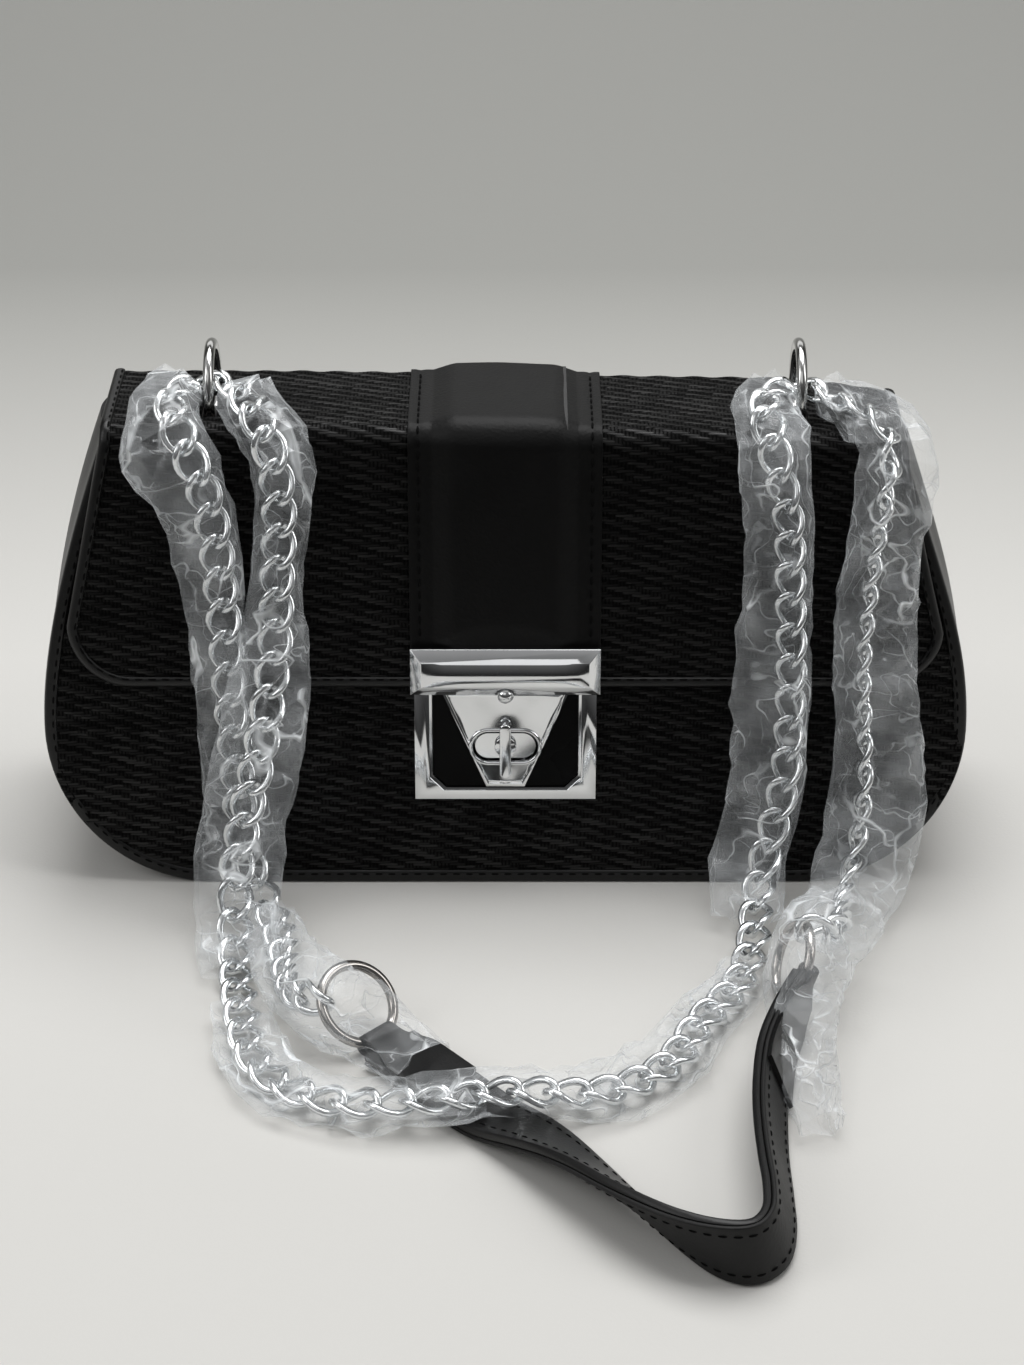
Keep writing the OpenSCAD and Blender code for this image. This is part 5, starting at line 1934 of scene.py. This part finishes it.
@dataclass
class Flap(Assembly):
    """The flap: skin, board, lining, binding and the padded band down its middle."""

    twill: Twill = Twill()
    grain: float = 0.00115
    hinge: tuple[float, float] = (0.0192, 0.1428)
    bend_centre: tuple[float, float] = (-0.01652, 0.1398)
    bend_r: float = 0.003
    thick: float = 0.003
    lining_t: float = 0.0008
    board_t: float = 0.001
    board_in: float = 0.003
    coarse: float = 0.004
    uneven: float = 0.0002
    low: float = 0.066
    half_low: float = 0.131
    half_top: float = 0.1184
    corner: float = 0.019
    binding_t: float = 0.0008
    binding_w: float = 0.0034
    stitch_in: float = 0.00275
    thread_up: float = 0.00005
    middle: tuple[float, float] = (0.06, 0.06)
    edge_step: float = 0.003
    tuck: float = 0.001
    slit_x: float = 0.087
    slit_half: float = 0.0023
    slit: tuple[float, float] = (0.0028, 0.03328)
    band_half: float = 0.0285
    band_edge: float = 0.0092
    band_foot: float = 0.0668
    sewn_foot: float = 0.0818
    groove_in: float = 0.003
    groove_w: float = 0.0009
    groove_t: float = 0.0003
    shoulder: float = 0.0078
    crease: float = 0.00018
    band_t: float = 0.0012
    pad_t: float = 0.0015
    puff: float = 0.0011
    puff_past: float = 0.002
    puff_end: float = 0.009
    puff_arc: float = 0.006
    bar_top: float = 0.0798
    strip_t: float = 0.0015
    strip_r: float = 0.0003
    strip_in: float = 0.0013
    strip_low: float = 0.0016

    @property
    def flat(self) -> float:
        """The length of the flap's level part, from the hinge to the bend."""
        return self.hinge[0] - self.bend_centre[0]

    @property
    def turn(self) -> float:
        """The angle of the bend."""
        return math.pi / 2 - self.shape.lean

    @property
    def bend(self) -> float:
        """The length of the bend on the outer face."""
        return (self.bend_r + self.thick) * self.turn

    def run_of(self, z: Array | float) -> Array:
        """The distance from the hinge, over the outer face, to a height on the front."""
        top = self.bend_centre[1] + (self.bend_r + self.thick) * math.sin(self.shape.lean)
        return self.flat + self.bend + (top - np.asarray(z)) / math.cos(self.shape.lean)

    def height_of(self, q: Array) -> Array:
        """The height on the front at a distance from the hinge."""
        top = self.bend_centre[1] + (self.bend_r + self.thick) * math.sin(self.shape.lean)
        return top - (q - self.flat - self.bend) * math.cos(self.shape.lean)

    def place(self, x: Array, q: Array, out: Array | float) -> Array:
        """Points of the flap.

        Args:
            x: Their widths.
            q: Their distances from the hinge, over the outer face.
            out: Their heights over the flap's inner face.

        Returns:
            The points.
        """
        x, q, out = np.broadcast_arrays(x, q, out)
        r = self.bend_r + self.thick
        a = np.clip((q - self.flat) / r, 0, self.turn)
        y = self.bend_centre[0] - (self.bend_r + out) * np.sin(a)
        z = self.bend_centre[1] + (self.bend_r + out) * np.cos(a)
        y = y + np.maximum(0, self.flat - q)
        down = np.maximum(0, q - self.flat - self.bend)
        lean = self.shape.lean
        return self.shape.sagged(
            np.stack([x, y - down * math.sin(lean), z - down * math.cos(lean)], axis=-1))

    def half(self, q: Array, inset: float) -> Array:
        """Half the flap's width at a distance from the hinge.

        Args:
            q: The distances.
            inset: How far inside the edge.

        Returns:
            The half widths.
        """
        z = self.height_of(q)
        r, low = self.corner - inset, self.low + inset
        wide, tip = self.half_low - inset, self.half_top - inset
        straight = np.interp(z, [low + r, self.shape.height], [wide, tip])
        arc = wide - r + np.sqrt(np.maximum(r**2 - np.maximum(r - (z - low), 0) ** 2, 0))
        return np.where(z < low + r, arc, straight)

    def layer(self, name: str, inset: float, high: float, thick: float, step: float,
              woven: bool = False) -> Piece:
        """Makes one layer of the flap, with the slits for the rings.

        Args:
            name: The piece's name.
            inset: How far inside the flap's outline its edge lies.
            high: The height of its outer face over the flap's inner face.
            thick: Its thickness.
            step: The grain of its grid.
            woven: Raises the straw's diagonals.

        Returns:
            The piece.
        """
        tip = self.half_top - inset
        marks = [-tip] + [s * self.slit_x + k * self.slit_half for s in (-1, 1) for k in (-1, 1)]
        u = marked([*marks, tip], step) / tip
        r = self.corner - inset
        rounds = self.low + inset + r * (1 - np.cos(np.linspace(math.pi / 2, 0, 19)))
        q = np.concatenate([
            marked([0.0, *self.slit, self.flat, self.flat + self.bend], step)[:-1],
            marked([self.flat + self.bend, float(self.run_of(rounds[0]))], step)[:-1],
            self.run_of(rounds)])
        x, q = self.half(q, inset)[:, None] * u[None], np.repeat(q[:, None], len(u), axis=1)
        out = high + (self.twill.relief(x, -q) if woven else 0)
        out = out + self.uneven * ripple(x, q, 0.045, 9) * (np.abs(x) > self.band_half)
        piece = grid_piece(name, self.place(x, q, out), np.stack([x, -q], axis=-1))
        cols = len(u) - 1
        mid_u, mid_q = (u[1:] + u[:-1]) / 2 * tip, (q[1:, 0] + q[:-1, 0]) / 2
        in_x = np.abs(np.abs(mid_u) - self.slit_x) < self.slit_half
        in_q = (mid_q > self.slit[0]) & (mid_q < self.slit[1])
        without(piece, lambda f: in_q[f.index // cols] and in_x[f.index % cols])
        settled(piece, (0, -1, 0.6))
        finish_with(piece, "SOLIDIFY", thickness=thick, offset=-1.0)
        shade(piece, 50)
        return piece

    def edge_line(self, inset: float) -> Array:
        """The right edge of the flap, laid flat, from the hinge to the band.

        Args:
            inset: How far inside the edge it runs.

        Returns:
            Points of half width and distance from the hinge.
        """
        marks = [0.0, self.flat + self.bend, float(self.run_of(self.low + self.corner))]
        q = marked(marks, self.edge_step)
        side = np.stack([self.half(q, inset), q], axis=1)
        r = self.corner - inset
        a = np.radians(np.linspace(0, 90, 16))[1:]
        arc = np.stack([self.half_low - inset - r + r * np.cos(a),
                        self.run_of(self.low + self.corner - r * np.sin(a))], axis=1)
        foot_x = np.linspace(arc[-1, 0], self.band_half - self.tuck, 34)[1:]
        foot = np.stack([foot_x, np.full(len(foot_x), arc[-1, 1])], axis=1)
        return np.vstack([side, arc, foot])

    def binding(self, sign: int) -> Piece:
        """Makes the bound edge of one side.

        Args:
            sign: 1 for the right side, -1 for the left one.

        Returns:
            The piece.
        """
        w, high = self.binding_w, self.thick + self.binding_t
        section = np.array([
            (w, self.thick - GAP), (w - 0.00005, high - 0.0003), (w - 0.0004, high),
            (0.7 * w, high + 0.00012), (0.45 * w, high + 0.0001), (0.2 * w, high - 0.0002),
            (0.05 * w, high - 0.0009), (0.0, high - 0.0018), (0.0, 0.0009), (0.0002, 0.0003),
            (0.0008, 0.0), (0.0009, 0.0009), (0.001, self.thick - 0.0005), (0.0016, self.thick - GAP)])
        return bound_edge("flap_edge", self.edge_line(0.0), self.middle, section,
                          lambda x, q, out: self.place(sign * x, q, out))

    def stitches(self) -> Piece:
        """Sews the binding's inner edge.

        Returns:
            The stitches.
        """
        line = self.edge_line(self.stitch_in)
        return self.sewn("flap_stitches", line[:, 0], line[:, 1], self.binding_t)

    def sewn(self, name: str, x: Array, q: Array, high: float) -> Piece:
        """Sews a line and its mirror image.

        Args:
            name: The name of the stitches.
            x: The line's widths.
            q: Its distances from the hinge.
            high: The height of what is sewn, over the flap's skin.

        Returns:
            The piece.
        """
        rows = []
        for sign in (-1, 1):
            place = self.place(sign * x, q, self.thick + high + self.thread_up)
            above = self.place(sign * x, q, self.thick + 0.01)
            rows.append(Stitch().row(name, place, unit(above - place)))
        return merged(name, rows)

    def band_height(self, x: Array, q: Array) -> Array:
        """The height of the band's outer face: flat edges and a padded middle.

        Args:
            x: Widths.
            q: Distances from the hinge.

        Returns:
            Heights over the flap's inner face.
        """
        edge = self.thick + self.band_t
        inner = self.band_half - self.band_edge
        swell = ease((inner + self.shoulder / 3 - np.abs(x)) / self.shoulder)
        crown = np.sqrt(np.clip(1 - (x / (inner + self.puff_past)) ** 2, 0, 1))
        bar = float(self.run_of(self.bar_top * math.cos(self.shape.lean)))
        arc = bar - self.puff_end + self.puff_arc * (x / inner) ** 2
        above = ease((bar - MM / 2 - q) / np.maximum(bar - arc, self.puff_past))
        over = self.puff * crown * above
        off_groove = (np.abs(x) - self.band_half + self.groove_in) / self.groove_w
        groove = self.groove_t * np.exp(-(off_groove**2))
        crease = self.crease * ripple(x, q, 0.016, 21) * ease((0.062 - q) / 0.02) * swell
        return edge + swell * self.pad_t + over - groove + crease

    def band(self) -> Piece:
        """Makes the padded band.

        Returns:
            The piece.
        """
        x = np.linspace(-self.band_half, self.band_half, 77)
        q = np.linspace(0.0, float(self.run_of(self.band_foot)), 150)
        gx, gq = np.meshgrid(x, q)
        high = self.band_height(gx, gq)
        top = self.place(gx, gq, high)
        low = self.place(gx, gq, np.minimum(self.thick + GAP, high - self.band_t))
        ring = np.concatenate([top, low[:, ::-1]], axis=1)
        piece = settled(grid_piece("padded_band", ring, wrap=True, caps=True))
        round_off(piece, self.band_t / 4)
        shade(piece, 40)
        return piece

    def band_stitches(self) -> Piece:
        """Sews both edges of the band.

        Returns:
            The stitches.
        """
        q = np.linspace(self.groove_in, float(self.run_of(self.sewn_foot)), 140)
        x = np.full(len(q), self.band_half - self.groove_in)
        return self.sewn("band_stitches", x, q, self.band_t)

    def hinge_strip(self) -> Piece:
        """Makes the leather strip that joins the back to the flap, inside the flap's edge.

        Returns:
            The piece.
        """
        x = np.linspace(self.tuck - self.half_top, self.half_top - self.tuck, 90)
        y, z = self.hinge
        line = np.stack([x, 0 * x + y - self.strip_in, 0 * x + z], axis=1)
        drop = z - self.shape.sagged(line)[:, 2]
        r = self.strip_r
        high = np.minimum(r, self.thick - r - drop)
        section = np.stack([loop_section(self.strip_t, -self.strip_low - s, top, r, across=3)
                            for s, top in zip(drop, high)])
        wide, up = (np.broadcast_to(way, line.shape) for way in ([0.0, 1, 0], [0.0, 0, 1]))
        piece = swept("flap_hinge_strip", line, wide, up, section)
        shade(piece, 50)
        return piece

    def build(self) -> None:
        """Builds and dresses the flap."""
        dress(self.hinge_strip(), Body.BAG, Slot.LEATHER, self.finishes.leather)
        skin = self.layer("flap_skin", self.binding_t, self.thick,
                          self.thick - self.lining_t - self.board_t, self.grain, woven=True)
        dress(skin, Body.FLAP, Slot.STRAW, self.finishes.straw, "flap_outer")
        stiff = self.layer("flap_stiffener", self.board_in, self.lining_t + self.board_t - GAP,
                           self.board_t - GAP, self.coarse)
        dress(stiff, Body.FLAP, Slot.BOARD, self.finishes.board, "flap_board")
        lining = self.layer("flap_lining_cloth", self.binding_t, self.lining_t,
                            self.lining_t - GAP, self.coarse)
        dress(lining, Body.FLAP, Slot.LINING, self.finishes.lining, "flap_lining")
        bound = merged("flap_edge", [self.binding(-1), self.binding(1)])
        dress(bound, Body.FLAP, Slot.LEATHER, self.finishes.leather, "flap_binding")
        dress(self.stitches(), Body.FLAP, Slot.LEATHER, self.finishes.thread)
        band = dress(self.band(), Body.FLAP, Slot.LEATHER, self.finishes.band, "centre_band")
        dress(self.band_stitches(), Body.FLAP, Slot.LEATHER, self.finishes.thread)
        dress_node("band_padding", self.finishes.foam)


# Lock and rings


@dataclass
class Lock(Assembly):
    """The lock: bevelled top bar, tapered tongue, frame with inlays, rim, base and turning bar."""

    bar: tuple[float, float, float] = (0.057, 0.0145, 0.0045)
    bar_low: float = 0.06529
    bar_out: float = 0.0069
    bar_edge: float = 0.00022
    bevel: float = 0.0034
    arch: float = 0.0007
    notch_r: float = 0.003
    notch_gap: float = 0.0004
    frame_w: float = 0.055
    frame_h: float = 0.0365
    frame_t: float = 0.0032
    floor_t: float = 0.0012
    border: tuple[float, float] = (0.0053, 0.004)
    chamfer: float = 0.0042
    slope: tuple[float, float] = (0.0032, 0.0009)
    step: float = 0.0008
    lip_t: float = 0.001
    tongue: tuple[float, float, float, float] = (0.0384, 0.0116, 0.031, 0.0018)
    tongue_out: float = 0.0036
    tongue_border: float = 0.0009
    tongue_edge: float = 0.00012
    lip: float = 0.0003
    dome: float = 0.0005
    dome_reach: float = 0.0075
    dome_wide: float = 1.35
    dent: float = 0.00003
    dent_x: float = 420.0
    dent_y: float = 510.0
    slot: tuple[float, float] = (0.0202, 0.01)
    slot_gap: float = 0.0003
    rim_gap: float = 0.0004
    rim_r: float = 0.00062
    knob: tuple[float, float, float] = (0.0035, 0.0175, 0.0034)
    knob_p: float = 0.04731
    knob_out: float = 0.0061
    knob_edge: float = 0.0009
    collar_out: float = 0.0047
    collar_edge: float = 0.0003
    spindle_r: float = 0.0016
    spindle_hole: float = 0.00165
    wall: float = 0.0042
    edge: float = 0.0002
    base_edge: float = 0.0006
    cutter_h: float = 0.01

    def placed(self, piece: Piece) -> Piece:
        """Moves a piece's mesh from the lock's own plane onto the bag's front.

        Args:
            piece: The piece.

        Returns:
            The piece.
        """
        turn = Matrix.Rotation(math.pi / 2 - self.shape.lean, 4, "X")
        piece.data.transform(Matrix.Translation((0, -self.shape.base_d / 2, 0)) @ turn)
        return settled(piece)

    def block(self, name: str, size: tuple, place: tuple) -> Piece:
        """Adds a block of a size, with its lower face's middle at a place."""
        middle = (place[0], place[1], place[2] + size[2] / 2)
        return primitive(name, bpy.ops.mesh.primitive_cube_add, middle, size=1, scale=size)

    def rod(self, name: str, radius: float, height: float, low: tuple) -> Piece:
        """Adds a rod that stands up from a place."""
        return primitive(name, bpy.ops.mesh.primitive_cylinder_add, (*low[:2], low[2] + height / 2),
                         vertices=48, radius=radius, depth=height)

    def shaped(self, piece: Piece, kind: Part, test: Callable, *steps: Callable) -> None:
        """Runs edit steps on the faces or the edges that pass a test.

        Args:
            piece: The piece.
            kind: Faces or edges.
            test: Says of one of them whether it is taken.
            steps: What is done with them, in order.
        """
        choose(piece)
        bpy.ops.object.mode_set(mode="EDIT")
        bpy.ops.mesh.select_mode(type=kind.value)
        bpy.ops.mesh.select_all(action="DESELECT")
        bpy.ops.object.mode_set(mode="OBJECT")
        for part in piece.data.polygons if kind is Part.FACE else piece.data.edges:
            part.select = test(part)
        bpy.ops.object.mode_set(mode="EDIT")
        for step in steps:
            step()
        bpy.ops.object.mode_set(mode="OBJECT")

    def cut_corners(self, block: Piece, width: float, segments: int,
                    below: float = math.inf) -> Piece:
        """Bevels a block's upright edges.

        Args:
            block: The block.
            width: The bevel's width.
            segments: Its steps.
            below: Edges from here up on the front stay.

        Returns:
            The block.
        """
        def upright(edge: bpy.types.MeshEdge) -> bool:
            """Whether an edge stands up and is to be bevelled."""
            a, b = (block.data.vertices[i].co for i in edge.vertices)
            return abs(a.z - b.z) > self.edge and a.y < below

        self.shaped(block, Part.EDGE, upright,
                    lambda: bpy.ops.mesh.bevel(offset=width, segments=segments))
        return block

    def cut_out(self, piece: Piece, cutter: Piece) -> None:
        """Cuts one shape out of a piece and removes the cutter.

        Args:
            piece: The piece.
            cutter: The shape.
        """
        settled(cutter)
        finish_with(piece, "BOOLEAN", operation="DIFFERENCE", object=cutter, solver="EXACT")
        bpy.data.objects.remove(cutter)

    def slot_cutter(self, grow: float, low: float, high: float) -> Piece:
        """A long round-ended block for the tongue's slot.

        Args:
            grow: How much larger than the slot it is all round.
            low: Where it starts over the front.
            high: Where it ends.

        Returns:
            The block.
        """
        w, h = self.slot[0] + 2 * grow, self.slot[1] + 2 * grow
        block = self.block("slot_cutter", (w, h, high - low), (0, self.knob_p, low))
        return settled(self.cut_corners(block, h / 2 - TINY, 16))

    def top_bar(self) -> Piece:
        """The bar over the flap's edge: mitred bevels, an arched face and a notch.

        Returns:
            The bar.
        """
        w, h, t = self.bar
        mid = self.bar_low + h / 2
        piece = self.block("lock_top_bar", (w, h, t / 3), (0, mid, self.bar_out))
        self.shaped(piece, Part.FACE, lambda f: f.normal.z > 0.9,
                    lambda: bpy.ops.mesh.inset(thickness=self.bevel, depth=2 * t / 3),
                    lambda: bpy.ops.mesh.subdivide(number_cuts=13))
        half = h / 2 - self.bevel
        top = self.bar_out + t
        for v in piece.data.vertices:
            if v.co.z > top - TINY:
                across = 1 - ((v.co.y - mid) / half) ** 2
                ends = 1 - (v.co.x / (w / 2 - self.bevel)) ** 8
                v.co.z += self.arch * across * ends
        notch = self.rod("notch_cutter", self.notch_r, 2 * t, (0, self.bar_low, self.bar_out + t / 3))
        self.cut_out(piece, notch)
        round_off(piece, self.bar_edge, 3)
        lip = self.block("bar_lip", (self.frame_w, self.lip_t, self.bar_out + t / 3 - self.tongue_out),
                         (0, self.bar_low + self.lip_t / 2, self.tongue_out))
        round_off(lip, self.edge)
        bar = merged("lock_top_bar", [piece, lip])
        shade(bar, 28)
        return self.placed(bar)

    def window_cutter(self, grow: float, low: float) -> Piece:
        """A block for the frame's window, with its lower corners cut off.

        Args:
            grow: How much larger than the window it is.
            low: Where it starts over the front.

        Returns:
            The block.
        """
        foot = self.bar_low - self.frame_h
        x, y = self.frame_w / 2 - self.border[0] + grow, foot + self.border[1] - grow
        top = self.bar_low - self.border[1] / 2
        middle = (top + y) / 2
        block = self.block("window_cutter", (2 * x, top - y, self.cutter_h), (0, middle, low))
        return settled(self.cut_corners(block, self.chamfer, 1, middle))

    def frame_plate(self) -> Piece:
        """The frame: borders that slope up to a ridge, a stepped window, a hole for the spindle.

        Returns:
            The frame.
        """
        t, (wide, rise) = self.frame_t, self.slope
        piece = self.block("lock_frame_plate", (self.frame_w, self.frame_h, t - rise),
                           (0, self.bar_low - self.frame_h / 2, 0))
        self.shaped(piece, Part.FACE, lambda f: f.normal.z > 0.9,
                    lambda: bpy.ops.mesh.inset(thickness=wide, depth=rise))
        self.cut_out(piece, self.window_cutter(0.0, self.floor_t))
        self.cut_out(piece, self.window_cutter(self.step, t - self.step / 2))
        hole = self.rod("spindle_cutter", self.spindle_hole, 2 * t, (0, self.knob_p, -t / 2))
        self.cut_out(piece, hole)
        round_off(piece, self.edge)
        shade(piece, 30)
        return self.placed(piece)

    def notch_dome(self) -> Piece:
        """The small bright dome in the notch.

        Returns:
            The dome.
        """
        middle = (0, self.bar_low, self.bar_out + self.bar[2] / 3)
        piece = primitive("notch_dome", bpy.ops.mesh.primitive_uv_sphere_add, middle,
                          segments=40, ring_count=20, radius=self.notch_r - self.notch_gap)
        self.shaped(piece, Part.FACE, lambda f: True,
                    lambda: bpy.ops.mesh.bisect(plane_co=(0, 0, middle[2]), plane_no=(0, 0, 1),
                                                clear_inner=True, use_fill=True))
        shade(piece, 40)
        return self.placed(piece)

    def tongue_plate(self) -> Piece:
        """The tapered tongue: a thin border round a face that domes about the slot.

        Returns:
            The tongue.
        """
        top_w, foot_w, h, t = self.tongue
        piece = self.block("lock_tongue_plate", (top_w, h, t),
                           (0, self.bar_low - h / 2, self.tongue_out))
        self.shaped(piece, Part.FACE, lambda f: f.normal.y < -0.9,
                    lambda: bpy.ops.transform.resize(value=(foot_w / top_w, 1, 1)))
        self.shaped(piece, Part.FACE, lambda f: f.normal.z > 0.9,
                    lambda: bpy.ops.mesh.inset(thickness=self.tongue_border, depth=0),
                    lambda: bpy.ops.mesh.inset(thickness=self.lip, depth=-self.lip),
                    lambda: bpy.ops.mesh.subdivide(number_cuts=31))
        face = self.tongue_out + t - self.lip
        for v in piece.data.vertices:
            if abs(v.co.z - face) < TINY:
                away = math.hypot(v.co.x / self.dome_wide, v.co.y - self.knob_p)
                wave = math.sin(v.co.x * self.dent_x + 1.3) * math.sin(v.co.y * self.dent_y)
                v.co.z += self.dome * math.exp(-((away / self.dome_reach) ** 2)) + self.dent * wave
        self.cut_out(piece, self.slot_cutter(self.slot_gap, 0.0, 2 * self.cutter_h))
        round_off(piece, self.tongue_edge)
        shade(piece, 30)
        return self.placed(piece)

    def rim(self) -> Piece:
        """The raised rim of the slot: a ring, pulled apart at its middle.

        Returns:
            The rim.
        """
        middle = (0, self.knob_p, self.tongue_out + self.tongue[3] - GAP)
        piece = primitive("slot_raised_rim", bpy.ops.mesh.primitive_torus_add, middle,
                          major_radius=self.slot[1] / 2 + self.rim_gap, minor_radius=self.rim_r,
                          major_segments=66, minor_segments=16)
        apart = (self.slot[0] - self.slot[1]) / 2
        for sign in (-1, 1):
            self.shaped(
                piece, Part.FACE, lambda f, s=sign: f.center.x * s > 0 and all(
                    piece.data.vertices[i].co.x * s > 0 for i in f.vertices),
                lambda s=sign: bpy.ops.transform.translate(value=(apart * s, 0, 0)))
        shade(piece, 60)
        return self.placed(piece)

    def turning_bar(self) -> Piece:
        """The upright turning bar with its rounded ends, collar and spindle.

        Returns:
            The bar.
        """
        w, length, rise = self.knob
        piece = self.block("turning_bar", (w, length, rise * 1.05), (0, self.knob_p, self.knob_out))
        self.cut_corners(piece, w / 2 - 2 * TINY, 10)
        round_off(piece, self.knob_edge, 4)
        collar = self.rod("collar", w - self.edge, self.knob_out - self.collar_out,
                          (0, self.knob_p, self.collar_out))
        round_off(collar, self.collar_edge, 3)
        spindle = self.rod("spindle", self.spindle_r, self.knob_out + self.wall,
                           (0, self.knob_p, -self.wall))
        round_off(spindle, self.edge)
        bar = merged("turning_bar", [piece, collar, spindle])
        shade(bar, 40)
        return self.placed(bar)

    def build(self) -> None:
        """Builds and dresses the lock."""
        chrome, steel = self.finishes.chrome, self.finishes.fixing
        for piece, body, node in (
            (self.top_bar(), Body.FLAP, "lock_bar"), (self.notch_dome(), Body.FLAP, "tongue_rivet"),
            (self.tongue_plate(), Body.FLAP, "lock_tongue"), (self.rim(), Body.FLAP, "slot_rim"),
            (self.turning_bar(), Body.KNOB, "turn_knob"),
            (self.frame_plate(), Body.BAG, "lock_frame"),
        ):
            dress(piece, body, Slot.LOCK, chrome, node)
        dress_node("lock_inlay", self.finishes.inlay)
        dress_node("knob_base", chrome)
        for name in ("lock_backing", "lock_rivets", "knob_washer", "bar_screws"):
            dress_node(name, steel)
        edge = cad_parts["knob_base"].modifiers.new("edge", "BEVEL")
        edge.width, edge.segments, edge.limit_method = self.base_edge, 3, "ANGLE"


@dataclass
class Rings(Assembly):
    """The two top rings and the shoulder pad's two rings."""

    def build(self) -> None:
        """Dresses the rings."""
        for side in ("left", "right"):
            dress_node(f"ring_{side}", self.finishes.ring)
            dress_node(f"pad_ring_{side}", self.finishes.pad_ring)
            for name in (f"ring_{side}", f"pad_ring_{side}"):
                shade(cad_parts[name], 60)


def main() -> None:
    """Builds the bag and what stands round it."""
    shape, finishes = Shape(), Finishes()
    Studio().build()
    strap = ChainStrap(shape, finishes)
    chain = strap.build()
    films = FilmSleeves(shape, finishes, strap.route).build()
    strap.declare(chain, films)
    ShoulderPad(shape, finishes).build()
    BagBody(shape, finishes).build()
    Flap(shape, finishes).build()
    Lock(shape, finishes).build()
    Rings(shape, finishes).build()


if __name__ == "__main__":
    main()
